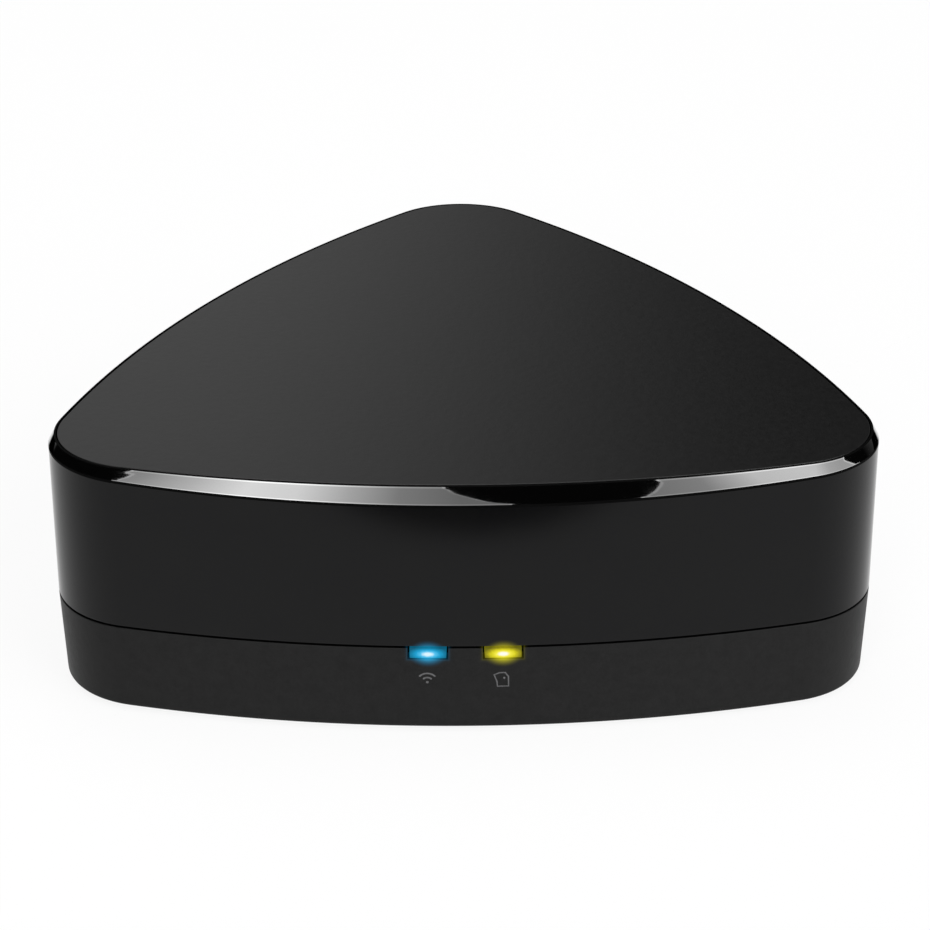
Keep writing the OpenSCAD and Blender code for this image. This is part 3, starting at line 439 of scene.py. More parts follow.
# Tin-plated steel of shield, cans and socket: pale, slightly yellow, fine rolling lines
tinPlatedSteel = platedMetal("tinPlatedSteel", {
    "dark": "#b9b8b2", "light": "#d2d1ca", "lineMm": 0.25, "drawn": (1, 0.08, 1), "gloss": (0.22, 0.38)})
# Zinc-plated screws: cooler and duller, turned lines
zincPlatedSteel = platedMetal("zincPlatedSteel", {
    "dark": "#8b8d92", "light": "#a9abb0", "lineMm": 0.15, "drawn": (1, 1, 0.1), "gloss": (0.3, 0.45)})
# Enamelled copper wire of the aerial: warm, glossy lacquer over drawn copper
enamelledCopper = platedMetal("enamelledCopper", {
    "dark": "#a9592b", "light": "#c97a40", "lineMm": 0.2, "drawn": (1, 1, 0.3), "gloss": (0.16, 0.26)})
# Aluminium capacitor cans: bright, brushed round
brushedAluminium = platedMetal("brushedAluminium", {
    "dark": "#bfc1c4", "light": "#dddfe1", "lineMm": 0.12, "drawn": (0.1, 0.1, 1), "gloss": (0.25, 0.4)})


# lacquered glass-epoxy board: the weave shows faintly, and tracks lift the lacquer
def solderMask(name, dark, light):
    material, tree, place = newMaterial(name)
    warp = addNode(tree, "TexWave", {"Scale": perMetre(0.5) / 20, "bands_direction": "X"}, {"Vector": place})
    weft = addNode(tree, "TexWave", {"Scale": perMetre(0.5) / 20, "bands_direction": "Y"}, {"Vector": place})
    weave = addNode(tree, "Math", {"operation": "MULTIPLY"}, {0: warp.outputs["Fac"], 1: weft.outputs["Fac"]})
    tracks = addNode(tree, "TexBrick", {
        "offset": 0.31, "offset_frequency": 3, "squash": 1.7, "squash_frequency": 5,
        "Scale": perMetre(1) / 6, "Mortar Size": 0.022, "Brick Width": 2.6, "Row Height": 0.15,
        "Color1": (0, 0, 0, 1), "Color2": (0.15, 0.15, 0.15, 1), "Mortar": (1, 1, 1, 1)}, {"Vector": place})
    lift = addNode(tree, "Math", {"operation": "MULTIPLY_ADD", 1: 0.2}, {0: weave, 2: tracks.outputs["Fac"]})
    colours = setRamp(addNode(tree, "ValToRGB", links={"Fac": lift}),
                      [(0.0, linear(dark)), (1.0, linear(light))])
    bump = addNode(tree, "Bump", {"Strength": 0.2, "Distance": 0.00003}, {"Height": lift})
    shader = addNode(tree, "BsdfPrincipled", {"Roughness": 0.32, "IOR": 1.52},
                     {"Base Color": colours, "Normal": bump})
    return coated(material, shader)


# black epoxy body, and tinned leads where the node reaches past the body
def chipFinish(name, nodeName, leadMm):
    material, tree, place = newMaterial(name)
    low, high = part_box(nodeName)
    aside = addNode(tree, "VectorMath", {"operation": "SUBTRACT", 1: (low + high) / 2}, {0: place})
    size = addNode(tree, "VectorMath", {"operation": "ABSOLUTE"}, {0: aside})
    half = (high - low) / 2 - Vector(leadMm) * 0.001
    over = addNode(tree, "VectorMath", {"operation": "SUBTRACT", 1: (half.x, half.y, 1.0)}, {0: size})
    over = addNode(tree, "VectorMath", {"operation": "MAXIMUM", 1: (0, 0, 0)}, {0: over})
    away = addNode(tree, "VectorMath", {"operation": "LENGTH"}, {0: over})
    lead = addNode(tree, "Math", {"operation": "GREATER_THAN", 1: 0.00003}, {0: away.outputs["Value"]})
    grit = addNode(tree, "TexNoise", {"Scale": perMetre(0.12), "Detail": 2.0}, {"Vector": place})
    epoxy = setRamp(addNode(tree, "ValToRGB", links={"Fac": grit.outputs["Fac"]}),
                    [(0.35, linear("#18181a")), (0.65, linear("#29292b"))])
    colour = addNode(tree, "Mix", {"data_type": "RGBA", 7: linear("#c6c6c2")}, {0: lead, 6: epoxy})
    gloss = addNode(tree, "MapRange", {"To Min": 0.5, "To Max": 0.3}, {"Value": lead})
    bump = addNode(tree, "Bump", {"Strength": 0.15, "Distance": 0.00001}, {"Height": grit.outputs["Fac"]})
    shader = addNode(tree, "BsdfPrincipled", {"IOR": 1.5}, {
        "Base Color": colour.outputs[2], "Metallic": lead, "Roughness": gloss, "Normal": bump})
    return coated(material, shader)


def castEpoxy(name, tint, roughness):  # cast clear resin with a faint tint and tiny bubbles near the skin
    material, tree, place = newMaterial(name)
    bubbles = addNode(tree, "TexVoronoi", {"Scale": perMetre(0.6)}, {"Vector": place})
    bump = addNode(tree, "Bump", {"Strength": 0.06, "Distance": 0.00001},
                   {"Height": bubbles.outputs["Distance"]})
    colours = setRamp(addNode(tree, "ValToRGB", links={"Fac": bubbles.outputs["Distance"]}),
                      [(0.1, linear(tint[0])), (0.8, linear(tint[1]))])
    settings = {"Roughness": roughness, "IOR": 1.54, "Transmission Weight": 0.6}
    shader = addNode(tree, "BsdfPrincipled", settings, {"Base Color": colours, "Normal": bump})
    return coated(material, shader)


polishedPolycarbonate = polishedSurface("polishedPolycarbonate", 1.6)
burnishedEdge = polishedSurface("burnishedEdge", 1.84)
blueWindow = litAcrylic("litAcrylicBlue", windows["network"])
yellowWindow = litAcrylic("litAcrylicYellow", windows["status"])
mainBoardMask = solderMask("solderMaskGreen", "#0f3a24", "#1f6a45")
radioBoardMask = solderMask("solderMaskDarkGreen", "#0d2a1e", "#1b4a36")
smokedEpoxy = castEpoxy("castEpoxySmokedBlue", ("#5f7098", "#8fa3c8"), 0.12)
clearEpoxy = castEpoxy("castEpoxyClear", ("#dfe6e8", "#f4f8f8"), 0.15)
print("materials made:", len(bpy.data.materials))

# Upper shell: window band, polished crowned chamfer, rim, deck and screw bosses

upper = {
    "chamferCrown": 0.03,   # how far the chamfer bulges, mm
    "seamEdge": 0.15,
    "lowerEdge": 0.05,      # roundings of the chamfer's two edges
    "upperEdge": 0.04,
    "rimEdge": 0.05,
    "paintedShadeLine": 0.38,    # a line of painted shade under the chamfer
    "chamferWidth": 0.9,
    "chamferZ": 37,         # only until the loop below lays the chamfer
    "chamferShares": (0.0, 0.075, 0.2, 0.4, 0.6, 0.8, 0.885, 0.955, 1.0),
    # (inset, height) up the inside, round the rebate and up the band, then the rim by the plate
    "inside": [(3.0, 36.35), (2.2, 35.55), (2.1, 16.25)],
    "rebate": [(0.95, 16.25), (0.95, 14.45)],
    "band": [(0.0, 14.45), (0.1, 36.0)],
    "rim": [(1.3, 39.3), (1.3, 38.15)],
    "boss": (3.5, 12.8, 36.85),  # radius, low, high
    "pilot": (1.3, 12.3, 20.0),
    "rib": {"half": 0.6, "low": 28.35, "high": 36.85, "short": 1.7},
}
chamferShares, bandIn = upper["chamferShares"], upper["band"][1][0]
profile = upper["inside"] + upper["rebate"] + upper["band"]
lowerRing = len(profile)
profile += [(bandIn + upper["chamferWidth"] * t - upper["chamferCrown"] * 4 * t * (1 - t),
             upper["chamferZ"] + t) for t in chamferShares]
upperRing = len(profile) - 1
profile += upper["rim"]
mesh, ring = sweepProfile(profile)
for vertex in mesh.verts:
    if vertex[ring] == lowerRing - 1:
        vertex.co.z = plan["topZ"] - chamferDrop(vertex.co) - upper["paintedShadeLine"]
    elif lowerRing <= vertex[ring] <= upperRing:
        vertex.co.z = plan["topZ"] - chamferDrop(vertex.co) * (1 - chamferShares[vertex[ring] - lowerRing])
# material index: the lower ring of its faces
# slot 2 is painted shade: the seam's rebate, the line under the chamfer, the chamfer's top strip and the rim
finishes = {2: (3, 4, 6, 14, 15, 16), 3: (7, 13), 1: (8, 9, 10, 11, 12)}
finishOf = {number: index for index, numbers in finishes.items() for number in numbers}
for face in mesh.faces:
    rings = sorted({v[ring] for v in face.verts})
    face.material_index = finishOf.get(rings[0], 0) if len(rings) == 2 and rings[1] == rings[0] + 1 else 0
closeShell(mesh)
bevelRing(mesh, ring, lowerRing - 2, upper["seamEdge"], middle=2)
edgeFaces = bevelRing(mesh, ring, lowerRing, upper["lowerEdge"], 2)
edgeFaces += bevelRing(mesh, ring, upperRing, upper["upperEdge"], 2)
# the chamfer's edge roundings take the painted shade too
for face in edgeFaces:
    if face.is_valid:
        face.material_index = 2
bevelRing(mesh, ring, upperRing + 1, upper["rimEdge"], 2)
upperPiece = makePiece("windowBand", mesh,
                       [satinPolycarbonate, polishedPolycarbonate, paintedShadeUndercut, burnishedEdge])
bosses, ribs, pilots = bmesh.new(), bmesh.new(), bmesh.new()
for corner in range(3):
    place, rib = atCorner(corner, columnReach), upper["rib"]
    addPost(bosses, place, *upper["boss"])
    addBlock(ribs, place, (0, -rib["half"], rib["low"]),
             (cornerReach - columnReach - rib["short"], rib["half"], rib["high"]))
    addPost(pilots, place, *upper["pilot"])
for tool, operation in ((bosses, "UNION"), (ribs, "UNION"), (pilots, "DIFFERENCE")):
    combine(upperPiece, makePiece("tool", tool, []), operation)
smoothPiece(upperPiece)
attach(upperPiece, "housing")
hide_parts("upper_shell")
print("upper shell:", len(upperPiece.data.polygons), "faces")

# Top plate: flat, let into the rim with a hairline gap

plate = {"inset": 1.45, "low": 38.3, "edge": 0.12}
mesh, ring = sweepProfile([(plate["inset"], plate["low"]), (plate["inset"], plan["topZ"])])
closeShell(mesh)
bevelRing(mesh, ring, 1, plate["edge"])
platePiece = smoothPiece(makePiece("topPlate", mesh, [sparkErodedAbs]))
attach(platePiece, "housing")
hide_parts("top_panel")

# Base shell: textured tray with tongue, floor, columns, standoffs, windows, vents and sockets

base = {
    "height": 13.5, "drawIn": 0.5, "edgeRound": 0.6, "roundSteps": 6,
    "wall": 2.0, "floorIn": 2.426, "floorZ": 2.8, "fillet": 0.8,
    "rimZ": 14.15, "tongueIn": 1.1, "tongueZ": 15.95, "rimEdge": 0.15, "tongueEdge": 0.15,
    # round parts and holes as (radius, low, high)
    "column": (3.5, 2.3, 12.8), "footPocket": (6.15, 0.3, 1.6), "counterbore": (2.6, 0.3, 4.0),
    "shank": (1.45, 0.3, 13.3), "standoff": (2.4, 2.3, 10.6), "standoffPilot": (1.15, 5.2, 12.2),
    "pinTube": (2.0, 2.3, 5.3), "pinHole": (0.8, 0.3, 5.8),
    "rib": {"half": 0.6, "low": 2.3, "high": 6.2, "short": 2.44},
    # inset from the corner, low, high, radius
    "socket": {"z": 9.325, "wall": (3.8, (0, -6.5, 2.3), (1.9, 6.5, 12.95)),
               "recess": (1.9, (0, -6, -3.6), (2.4, 6, 3.6), 1.6),
               "opening": (4.3, (0, -4.05, -1.575), (2.9, 4.05, 1.575), 0.9)},
    # places as shares of the distance to a side
    "standoffs": [(-0.3, -0.7), (0.3, -0.7), (-0.43, 0.38), (0.43, 0.38)],
    "vents": {"count": 5, "spacing": 3.2, "width": 1.5, "length": 14.0, "low": 0.3, "high": 3.3,
              "share": (0, -0.47)},
    "reset": (0.28, 0.85),
}


def baseInset(z):
    return base["drawIn"] * (plan["seamZ"] - z) / base["height"]


rounding = []
for step in range(base["roundSteps"] + 1):
    angle = math.radians(90 * step / base["roundSteps"])
    height = plan["baseZ"] + base["edgeRound"] * (1 - math.cos(angle))
    rounding.append((baseInset(height) + base["edgeRound"] * (1 - math.sin(angle)), height))
profile = rounding + [
    (baseInset(base["rimZ"]), base["rimZ"]), (base["tongueIn"], base["rimZ"]),
    (base["tongueIn"], base["tongueZ"]), (base["wall"], base["tongueZ"]),
    (base["floorIn"], base["floorZ"] + base["fillet"]),
    (base["floorIn"] + base["fillet"], base["floorZ"]),
]
mesh, ring = sweepProfile(profile)
for face in mesh.faces:  # the seam's groove gets the painted-shade material
    face.material_index = 1 if {v[ring] for v in face.verts} in ({7, 8}, {8, 9}) else 0
closeShell(mesh)
bevelRing(mesh, ring, 7, base["rimEdge"], middle=0)
bevelRing(mesh, ring, 9, base["tongueEdge"], 2)
basePiece = makePiece("baseTray", mesh, [leatherGrainAbs, paintedShadeUndercut])
posts, ribs, cutters, opening = bmesh.new(), bmesh.new(), bmesh.new(), bmesh.new()
counterbores, shanks = bmesh.new(), bmesh.new()
for corner in range(3):
    place = atCorner(corner, columnReach)
    rib = base["rib"]
    addPost(posts, place, *base["column"])
    addBlock(ribs, place, (0, -rib["half"], rib["low"]),
             (cornerReach - columnReach - rib["short"], rib["half"], rib["high"]))
    addPost(cutters, place, *base["footPocket"])
    addPost(counterbores, place, *base["counterbore"])
    addPost(shanks, place, *base["shank"])
for x, y in base["standoffs"]:
    addPost(posts, atShare(x, y), *base["standoff"])
    addPost(cutters, atShare(x, y), *base["standoffPilot"])
addPost(posts, atShare(*base["reset"]), *base["pinTube"])
addPost(cutters, atShare(*base["reset"]), *base["pinHole"])
socket = base["socket"]
for tool, (inset, *block), z in (
    (posts, socket["wall"], 0), (cutters, socket["recess"], socket["z"]),
    (opening, socket["opening"], socket["z"]),
):
    addBlock(tool, atCorner(0, cornerReach - inset, z), *block)
for window in windows.values():
    half = windowShape["width"] / 2
    addBlock(cutters, onFront(window["x"]), (-2.5, -half, windowShape["sill"]),
             (0.5, half, base["tongueZ"] + 0.5))
vents = base["vents"]
for number in range(vents["count"]):
    middle = (number - (vents["count"] - 1) / 2) * vents["spacing"]
    addBlock(cutters, atShare(*vents["share"]),
             (-vents["length"] / 2, middle - vents["width"] / 2, vents["low"]),
             (vents["length"] / 2, middle + vents["width"] / 2, vents["high"]))
for tool in (posts, ribs):
    combine(basePiece, makePiece("tool", tool, []), "UNION")
for tool in (cutters, counterbores, shanks, opening):
    combine(basePiece, makePiece("tool", tool, []), "DIFFERENCE")
smoothPiece(basePiece)
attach(basePiece, "housing")
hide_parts("base_shell")
print("base shell:", len(basePiece.data.polygons), "faces")

# Light guides: frosted acrylic with rounded edges, a waist and a foot

guide = {"length": 6.5, "neck": 2.3, "sink": 0.1, "edge": 0.09, "waistShare": 0.62, "footShare": 0.33,
         "footLow": 12.2, "footHigh": 12.7}
for key, nodeName, slotName, material in (
    ("network", "network_light_guide", "blue_window", blueWindow),
    ("status", "status_light_guide", "yellow_window", yellowWindow),
):
    place = onFront(windows[key]["x"])
    half = windowShape["guideWidth"] / 2
    waist, foot = half * guide["waistShare"], guide["length"] * guide["footShare"]
    mesh = bmesh.new()
    outline = [(-guide["sink"], -half), (-guide["sink"], half), (-guide["neck"], half),
               (-guide["length"] + foot, waist), (-guide["length"], waist), (-guide["length"], -waist),
               (-guide["length"] + foot, -waist), (-guide["neck"], -half)]
    face = mesh.faces.new([mesh.verts.new((x, y, windowShape["guideLow"])) for x, y in outline])
    raised = bmesh.ops.extrude_face_region(mesh, geom=[face])
    bmesh.ops.translate(mesh, vec=(0, 0, windowShape["guideHigh"] - windowShape["guideLow"]),
                        verts=[g for g in raised["geom"] if isinstance(g, bmesh.types.BMVert)])
    bmesh.ops.recalc_face_normals(mesh, faces=mesh.faces[:])
    bmesh.ops.bevel(mesh, geom=mesh.edges[:], offset=guide["edge"], segments=3, profile=0.5, affect="EDGES",
                    material=-1, clamp_overlap=True)
    bmesh.ops.transform(mesh, matrix=place, verts=mesh.verts[:])
    addBlock(mesh, place, (-guide["length"], -waist, guide["footLow"]),
             (-guide["length"] + foot, waist, guide["footHigh"]))
    piece = smoothPiece(makePiece(key + "Guide", mesh, [material]))
    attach(piece, "housing")
    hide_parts(nodeName)

# Two small printed marks under the windows: a signal fan, and a plain tag with a dot

marks = {"lift": 0.012, "depth": 0.03, "stroke": 0.25,
         "signal": {"x": -5.46, "z": 8.52, "dot": 0.2, "arcs": (0.79, 1.48), "spread": 100},
         "tag": {"x": 5.08, "z": 8.93,
                 "outline": [(-1.12, 0.82), (-0.3, 1.22), (0.62, 1.22), (1.12, 0.5), (1.12, -1.22),
                             (-0.62, -1.22), (-0.72, -0.35)],
                 "inkShare": 0.85, "dot": 0.17, "dotAt": (0.42, 0.25, 0)}}


def markPlace(x, z):  # a frame on the base's front wall: X to the right, Y up the wall, Z outwards
    spot = onFront(x, z, baseInset(z)).translation
    turn = math.degrees(math.asin(x / plan["sideRadius"]))
    tilt = math.atan(base["drawIn"] / base["height"])
    out = way(270 + turn) * math.cos(tilt) - Vector((0, 0, math.sin(tilt)))
    right = way(turn)
    up = out.cross(right)
    turned = Matrix((right, up, out)).transposed().to_4x4()
    return Matrix.Translation(spot + out * marks["lift"]) @ turned


def finishMark(name, mesh, place):
    for face in mesh.faces:
        face.normal_update()
        if face.normal.z < 0:
            face.normal_flip()
    raised = bmesh.ops.extrude_face_region(mesh, geom=mesh.faces[:])
    bmesh.ops.translate(mesh, vec=(0, 0, -marks["depth"]),
                        verts=[g for g in raised["geom"] if isinstance(g, bmesh.types.BMVert)])
    bmesh.ops.recalc_face_normals(mesh, faces=mesh.faces[:])
    bmesh.ops.transform(mesh, matrix=place, verts=mesh.verts[:])
    piece = makePiece(name, mesh, [printedInk])
    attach(piece, "housing")


mesh = bmesh.new()
signal = marks["signal"]
bmesh.ops.create_circle(mesh, cap_ends=True, segments=24, radius=signal["dot"])
for radius in signal["arcs"]:
    start = Matrix.Rotation(math.radians(-signal["spread"] / 2), 3, "Z")
    pair = [mesh.verts.new(start @ Vector((0, radius + side * marks["stroke"] / 2, 0))) for side in (-1, 1)]
    bmesh.ops.spin(mesh, geom=pair + [mesh.edges.new(pair)], cent=(0, 0, 0), axis=(0, 0, 1), dvec=(0, 0, 0),
                   angle=math.radians(signal["spread"]), steps=20, use_merge=False, use_duplicate=False)
finishMark("signalMark", mesh, markPlace(signal["x"], signal["z"]))
mesh = bmesh.new()
tag = marks["tag"]
face = mesh.faces.new([mesh.verts.new((x, y, 0)) for x, y in tag["outline"]])
face.normal_update()
bmesh.ops.inset_individual(mesh, faces=[face], thickness=marks["stroke"] * tag["inkShare"])
bmesh.ops.delete(mesh, geom=[face], context="FACES_ONLY")
bmesh.ops.create_circle(mesh, cap_ends=True, segments=20, radius=tag["dot"],
                        matrix=Matrix.Translation(tag["dotAt"]))
finishMark("tagMark", mesh, markPlace(tag["x"], tag["z"]))

# Carried-over CAD nodes: round ones get a merged, smooth-shaded copy, flat ones keep their mesh


def smoothCopy(nodeName, pieceName, body, material, degrees=35):
    mesh = bmesh.new()
    mesh.from_mesh(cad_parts[nodeName].data)
    bmesh.ops.remove_doubles(mesh, verts=mesh.verts[:], dist=1e-6)
    bmesh.ops.recalc_face_normals(mesh, faces=mesh.faces[:])
    piece = smoothPiece(makePiece(pieceName, mesh, [material], 1.0, False), degrees)
    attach(piece, body)
    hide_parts(nodeName)
    return piece


roundNodes = {
    "foot_rear": ("footRear", siliconeRubber, "foot_rubber"),
    "foot_left": ("footLeft", siliconeRubber, "foot_rubber"),
    "foot_right": ("footRight", siliconeRubber, "foot_rubber"),
    "case_screws": ("caseScrews", zincPlatedSteel, "screw_steel"),
    "board_screws": ("boardScrews", zincPlatedSteel, "screw_steel"),
    "ir_receiver": ("receiverModule", glassFilledNylon, "dark_moulding"),
    "capacitors": ("capacitorCans", brushedAluminium, "metal_can"),
    "clock_crystal": ("clockCrystal", tinPlatedSteel, "metal_can"),
    "remote_radio_crystal": ("remoteRadioCrystal", tinPlatedSteel, "metal_can"),
    "coil_antenna": ("coilAerial", enamelledCopper, "copper_wire"),
    "switch_cover": ("switchCover", tinPlatedSteel, "socket_steel"),
    "switch_body": ("switchBody", glassFilledNylon, "dark_moulding"),
}
for side in ("front_left", "front_right", "left_front", "left_rear", "right_front", "right_rear"):
    pieceName = "emitter" + side.title().replace("_", "")
    roundNodes["ir_emitter_" + side] = (pieceName, smokedEpoxy, "emitter_lens")
for nodeName, (pieceName, material, slotName) in roundNodes.items():
    smoothCopy(nodeName, pieceName, "housing", material)
smoothCopy("switch_plunger", "switchPlunger", "reset_plunger", acetalGrey)
switchDome = smoothCopy("switch_dome", "switchDome", "housing", tinPlatedSteel)
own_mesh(switchDome)
flatNodes = {
    "panel_adhesive": acrylicFoamTape,
    "circuit_board": mainBoardMask,
    "radio_board": radioBoardMask,
    "radio_shield": tinPlatedSteel,
    "power_socket": tinPlatedSteel,
    "socket_insert": glassFilledNylon,
    "network_lamp": clearEpoxy,
    "status_lamp": clearEpoxy,
}
chips = {  # how far each chip's leads reach past its body, mm
    "main_chip": ("Main", (1.0, 1.0, 0)),
    "memory_chip": ("Memory", (0, 1.0, 0)),
    "remote_radio_chip": ("Remote", (0, 1.0, 0)),
    "voltage_regulator": ("Regulator", (0, 1.0, 0)),
    "temperature_sensor": ("Sensor", (0, 1.0, 0)),
    "driver_transistors": ("Drivers", (0, 1.0, 0)),
    "chip_resistors": ("Resistors", (0, 0.4, 0)),
    "radio_chip": ("Radio", (0, 0, 0)),
}
for nodeName, (word, leadMm) in chips.items():
    flatNodes[nodeName] = chipFinish("chipEpoxy" + word, nodeName, leadMm)
for nodeName, material in flatNodes.items():
    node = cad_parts[nodeName]
    if not node.data.materials:
        node.data.materials.append(material)
    for slotItem in node.material_slots:
        slotItem.material = material
print("CAD nodes dressed:", len(roundNodes) + 2 + len(flatNodes))

# Camera at the photograph's place, fitted to the outlines

view = {"turn": -0.4063, "rise": 25.9089, "away": 421.6888, "focal": 2623.6565, "aside": 0.4017,
        "height": 15.3622, "roll": 0.1754, "pixels": 930, "sensor": 36}
turn, rise, roll = (math.radians(view[key]) for key in ("turn", "rise", "roll"))
back = Vector((math.sin(turn) * math.cos(rise), -math.cos(turn) * math.cos(rise), math.sin(rise)))
right = Vector((math.cos(turn), math.sin(turn), 0))
up = back.cross(right)
spot = (right * view["aside"] + Vector((0, 0, view["height"])) + back * view["away"]) * 0.001
across = right * math.cos(roll) - up * math.sin(roll)
upright = right * math.sin(roll) + up * math.cos(roll)
cameraData = bpy.data.cameras.new("camera")
cameraData.sensor_fit = "HORIZONTAL"
cameraData.sensor_width = view["sensor"]
cameraData.lens = view["focal"] / view["pixels"] * view["sensor"]
cameraData.clip_start = 0.01
camera = bpy.data.objects.new("camera", cameraData)
camera.matrix_world = Matrix.Translation(spot) @ Matrix((across, upright, back)).transposed().to_4x4()
scene.collection.objects.link(camera)
scene.camera = camera

# Studio: pale floor, soft overhead panel, a glow from the back left, three soft cards round the object

studio = {
    # below: how far reflections see the floor white, a painted dark spot in them, and a painted contact
    # shadow
    "floorSize": 16.0, "floorKeepsShade": 0.12, "paintedShadeReach": (0.16, 0.23),
    "paintedShadeSpot": {"at": (0.004, -0.2, 0), "size": (0.085, 0.084, 0.1), "soft": 0.11},
    "contactShade": {"reach": 0.0012, "seen": 0.12, "mirrored": 0.45, "black": 0.02},
    "overhead": {"at": (-0.1, 0.1, 1.3), "size": (1.2, 1.2), "watts": 8.0},
    "backLeftGlow": {"level": 0.56, "across": (-0.11, 0.13), "back": (0.6, 0.8)},
    # az and el in degrees, az 0 towards -Y; ends are tables of (el, az), levels of (az, brightness)
    "cards": {
        "radius": 5.0, "low": 1.0, "high": 50.0, "columns": 40, "rows": 98, "rimGain": 1.6,
        "left": {"start": [(21, -37.2), (23.1, -36.2), (25.3, -35.6), (27, -35.85), (28.3, -37)],
                 "end": [(8.3, 5), (9.1, 3.1), (11, 1), (13.2, -0.8), (15.1, -1.7)], "rims": (0.4, 0.3),
                 "levels": [(-38, 1.75), (-33.8, 2.35), (-27.9, 4.05), (-22, 6.5), (-16.6, 5.9), (-11.5, 3.5),
                            (-6.3, 1.75), (0, 1.15)]},
        "right": {"start": [(9.7, 17.8), (12, 18.6), (14.2, 19.6), (17.7, 20.7), (19.7, 20.4), (24, 21.8)],
                  "end": [(9, 94), (17, 87), (23.5, 78.5), (26, 81)], "rims": (0.35, 1.6),
                  "levels": [(18, 1.4), (25, 1.95), (31, 4.6), (37, 5.1), (55, 3.3), (70, 2.8), (95, 2.4)]},
        "side": {"start": [(0, 107), (30, 107)], "end": [(0, 160), (30, 160)], "rims": (0.2, 0.2),
                 "levels": [(107, 0.0), (119, 0.06), (130, 0.1), (160, 0.3)]},
    },
    "sky": {"low": 0.004, "high": 0.35, "from": 0.55, "to": 0.95},
}
mesh = bmesh.new()
bmesh.ops.create_grid(mesh, x_segments=4, y_segments=4, size=studio["floorSize"] / 2)
floorMaterial, tree, place = newMaterial("floorPaper")
path = addNode(tree, "LightPath")
seen = addNode(tree, "Math", {"operation": "MAXIMUM"},
               {0: path.outputs["Is Camera Ray"], 1: path.outputs["Is Glossy Ray"]})
seen = addNode(tree, "Math", {"operation": "MAXIMUM"}, {0: seen, 1: path.outputs["Is Transmission Ray"]})
share = addNode(tree, "Math", {"operation": "MULTIPLY", 1: 1 - studio["floorKeepsShade"]}, {0: seen})
# painted shade in reflections: beyond a reach, and in a soft spot in front of the object, reflections see the
# floor dark
reach = addNode(tree, "VectorMath", {"operation": "LENGTH"}, {0: place})
far = addNode(tree, "MapRange", {"interpolation_type": "SMOOTHSTEP", "From Min": studio["paintedShadeReach"][0],
                                     "From Max": studio["paintedShadeReach"][1]}, {"Value": reach.outputs["Value"]})
shadeAt, shadeSize = studio["paintedShadeSpot"]["at"], studio["paintedShadeSpot"]["size"]
aside = addNode(tree, "VectorMath", {"operation": "SUBTRACT", 1: shadeAt}, {0: place})
aside = addNode(tree, "VectorMath", {"operation": "DIVIDE", 1: shadeSize}, {0: aside})
spot = addNode(tree, "TexGradient", {"gradient_type": "SPHERICAL"}, {"Vector": aside})
soft = {"interpolation_type": "SMOOTHSTEP", "From Max": studio["paintedShadeSpot"]["soft"]}
spot = addNode(tree, "MapRange", soft, {"Value": spot.outputs["Fac"]})
dark = addNode(tree, "Math", {"operation": "MAXIMUM"}, {0: far, 1: spot})
dark = addNode(tree, "Math", {"operation": "MULTIPLY"}, {0: dark, 1: path.outputs["Is Glossy Ray"]})
pale = addNode(tree, "Math", {"operation": "SUBTRACT", 0: 1.0}, {1: dark})
# painted contact shadow: ambient occlusion darkens the floor's white next to the base, more strongly in
# reflections
nearby = studio["contactShade"]
contact = addNode(tree, "AmbientOcclusion", {"samples": 4, "Distance": nearby["reach"]})
closeness = addNode(tree, "Math", {"operation": "MULTIPLY_ADD", 1: nearby["mirrored"], 2: nearby["seen"]},
                    {0: path.outputs["Is Glossy Ray"]})
unshaded = addNode(tree, "MapRange", {"From Min": nearby["black"]},
                   {"Value": contact.outputs["AO"], "From Max": closeness})
bright = addNode(tree, "Math", {"operation": "MULTIPLY"}, {0: pale, 1: unshaded})
tint = addNode(tree, "VectorMath", {"operation": "SCALE", 0: linear("#f4f4f4")[:3]}, {"Scale": bright})
paper = addNode(tree, "BsdfDiffuse", links={"Color": tint})
white = addNode(tree, "Emission", {"Color": (1, 1, 1, 1)}, {"Strength": bright})
mixed = addNode(tree, "MixShader", links={0: share, 1: paper, 2: white})
coated(floorMaterial, mixed)
floor = makePiece("floor", mesh, [floorMaterial], 1.0, False)


def softPanel(name, look):
    data = bpy.data.lights.new(name, "AREA")
    data.shape = "RECTANGLE"
    data.size, data.size_y = look["size"]
    data.energy = look["watts"]
    lamp = bpy.data.objects.new(name, data)
    spot = Vector(look["at"])
    turned = (spot - Vector((0, 0, 0.02))).to_track_quat("Z", "Y").to_matrix().to_4x4()
    lamp.matrix_world = Matrix.Translation(spot) @ turned
    lamp.visible_camera = False
    scene.collection.objects.link(lamp)


def glowMaterial(name, look, gain):  # brightness by azimuth round the object
    material, tree, place = newMaterial(name)
    apart = addNode(tree, "SeparateXYZ", links={0: place})
    front = addNode(tree, "Math", {"operation": "MULTIPLY", 1: -1.0}, {0: apart.outputs["Y"]})
    azimuth = addNode(tree, "Math", {"operation": "ARCTAN2"}, {0: apart.outputs["X"], 1: front})
    low, high = look["levels"][0][0], look["levels"][-1][0]
    peak = max(level for azimuthDegrees, level in look["levels"])
    along = addNode(tree, "MapRange", {"From Min": math.radians(low), "From Max": math.radians(high)},
                    {"Value": azimuth})
    levels = [((a - low) / (high - low), (v / peak,) * 3 + (1.0,)) for a, v in look["levels"]]
    ramp = setRamp(addNode(tree, "ValToRGB", links={"Fac": along}), levels)
    glow = addNode(tree, "Emission", {"Strength": peak * gain}, {"Color": ramp})
    return coated(material, glow)


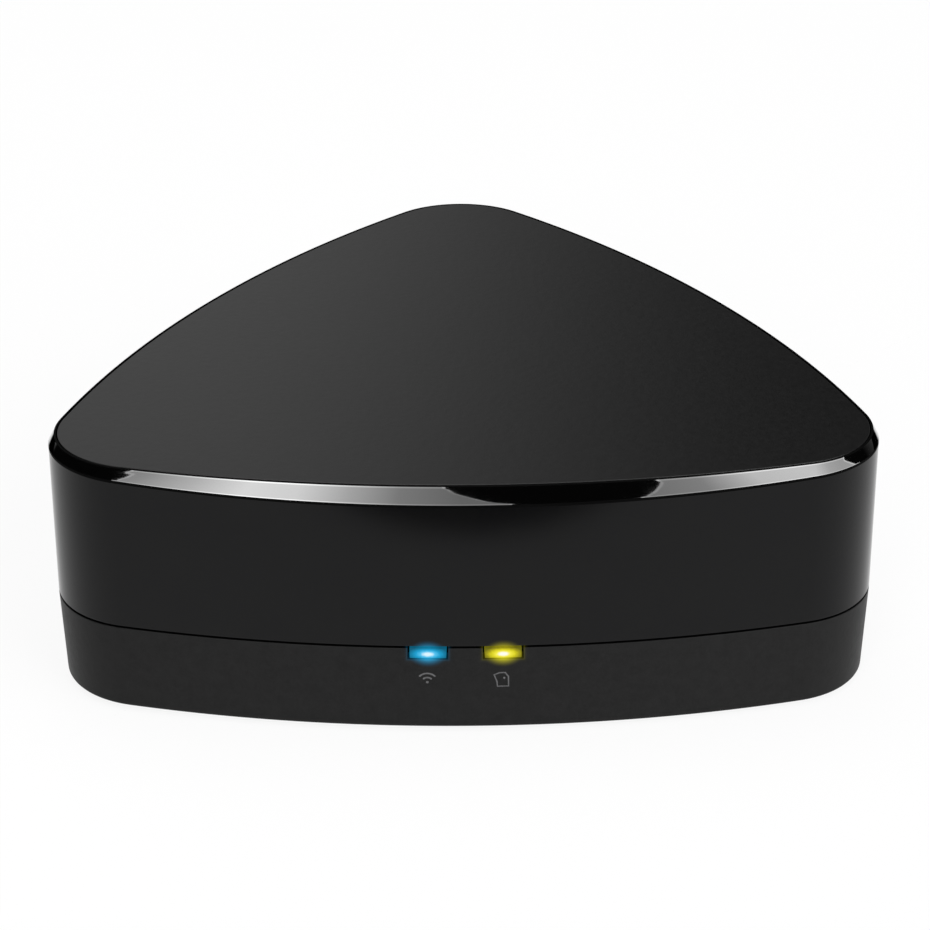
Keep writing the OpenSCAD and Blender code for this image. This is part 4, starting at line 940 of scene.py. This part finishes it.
# a card on a wide sphere round the object, its two ends cut to a curve and a little brighter
def softCard(name, look, cards):
    mesh = bmesh.new()
    columns, rows = cards["columns"], cards["rows"]
    grid = bmesh.ops.create_grid(mesh, x_segments=columns, y_segments=rows, size=0.5)
    for face in mesh.faces:
        face.material_index = 1 if abs(face.calc_center_median().x) > 0.5 - 1 / columns else 0
    for vertex in grid["verts"]:
        column = round((vertex.co.x + 0.5) * columns)
        rise = cards["low"] + (vertex.co.y + 0.5) * (cards["high"] - cards["low"])
        start, end = between(look["start"], rise), between(look["end"], rise)
        inner, outer = start + look["rims"][0], end - look["rims"][1]
        azimuth = inner + (outer - inner) * (column - 1) / (columns - 2)
        azimuth = math.radians(start if column == 0 else end if column == columns else azimuth)
        rise = math.radians(rise)
        vertex.co = Vector((math.sin(azimuth) * math.cos(rise), -math.cos(azimuth) * math.cos(rise),
                            math.sin(rise))) * cards["radius"]
    glows = [glowMaterial(name + "Glow", look, 1.0), glowMaterial(name + "Rim", look, cards["rimGain"])]
    card = makePiece(name, mesh, glows, 1.0, False)
    card.visible_camera = False


softPanel("overheadPanel", studio["overhead"])
for cardName in ("left", "right", "side"):
    softCard(cardName + "Card", studio["cards"][cardName], studio["cards"])
world = bpy.data.worlds.new("studioWorld")
scene.world = world
world.use_nodes = True
tree = world.node_tree
tree.nodes.clear()
direction = addNode(tree, "SeparateXYZ", links={0: addNode(tree, "TexCoord").outputs["Generated"]})
sky = studio["sky"]
rising = addNode(tree, "MapRange", {"From Min": sky["from"], "From Max": sky["to"], "To Min": sky["low"],
                                    "To Max": sky["high"]}, {"Value": direction.outputs["Z"]})
patch = studio["backLeftGlow"]
leftwards = addNode(tree, "MapRange", {
    "interpolation_type": "SMOOTHSTEP", "From Min": patch["across"][0], "From Max": patch["across"][1],
    "To Min": patch["level"], "To Max": 0.0}, {"Value": direction.outputs["X"]})
backwards = addNode(tree, "MapRange", {
    "interpolation_type": "SMOOTHSTEP", "From Min": patch["back"][0], "From Max": patch["back"][1]},
    {"Value": direction.outputs["Y"]})
glow = addNode(tree, "Math", {"operation": "MULTIPLY_ADD"}, {0: leftwards, 1: backwards, 2: rising})
path = addNode(tree, "LightPath")
level = addNode(tree, "Math", {"operation": "MAXIMUM"}, {0: glow, 1: path.outputs["Is Camera Ray"]})
ground = addNode(tree, "Background", {"Color": (1, 1, 1, 1)}, {"Strength": level})
addNode(tree, "OutputWorld", links={0: ground})
scene.view_settings.view_transform = "Standard"
print("studio ready")
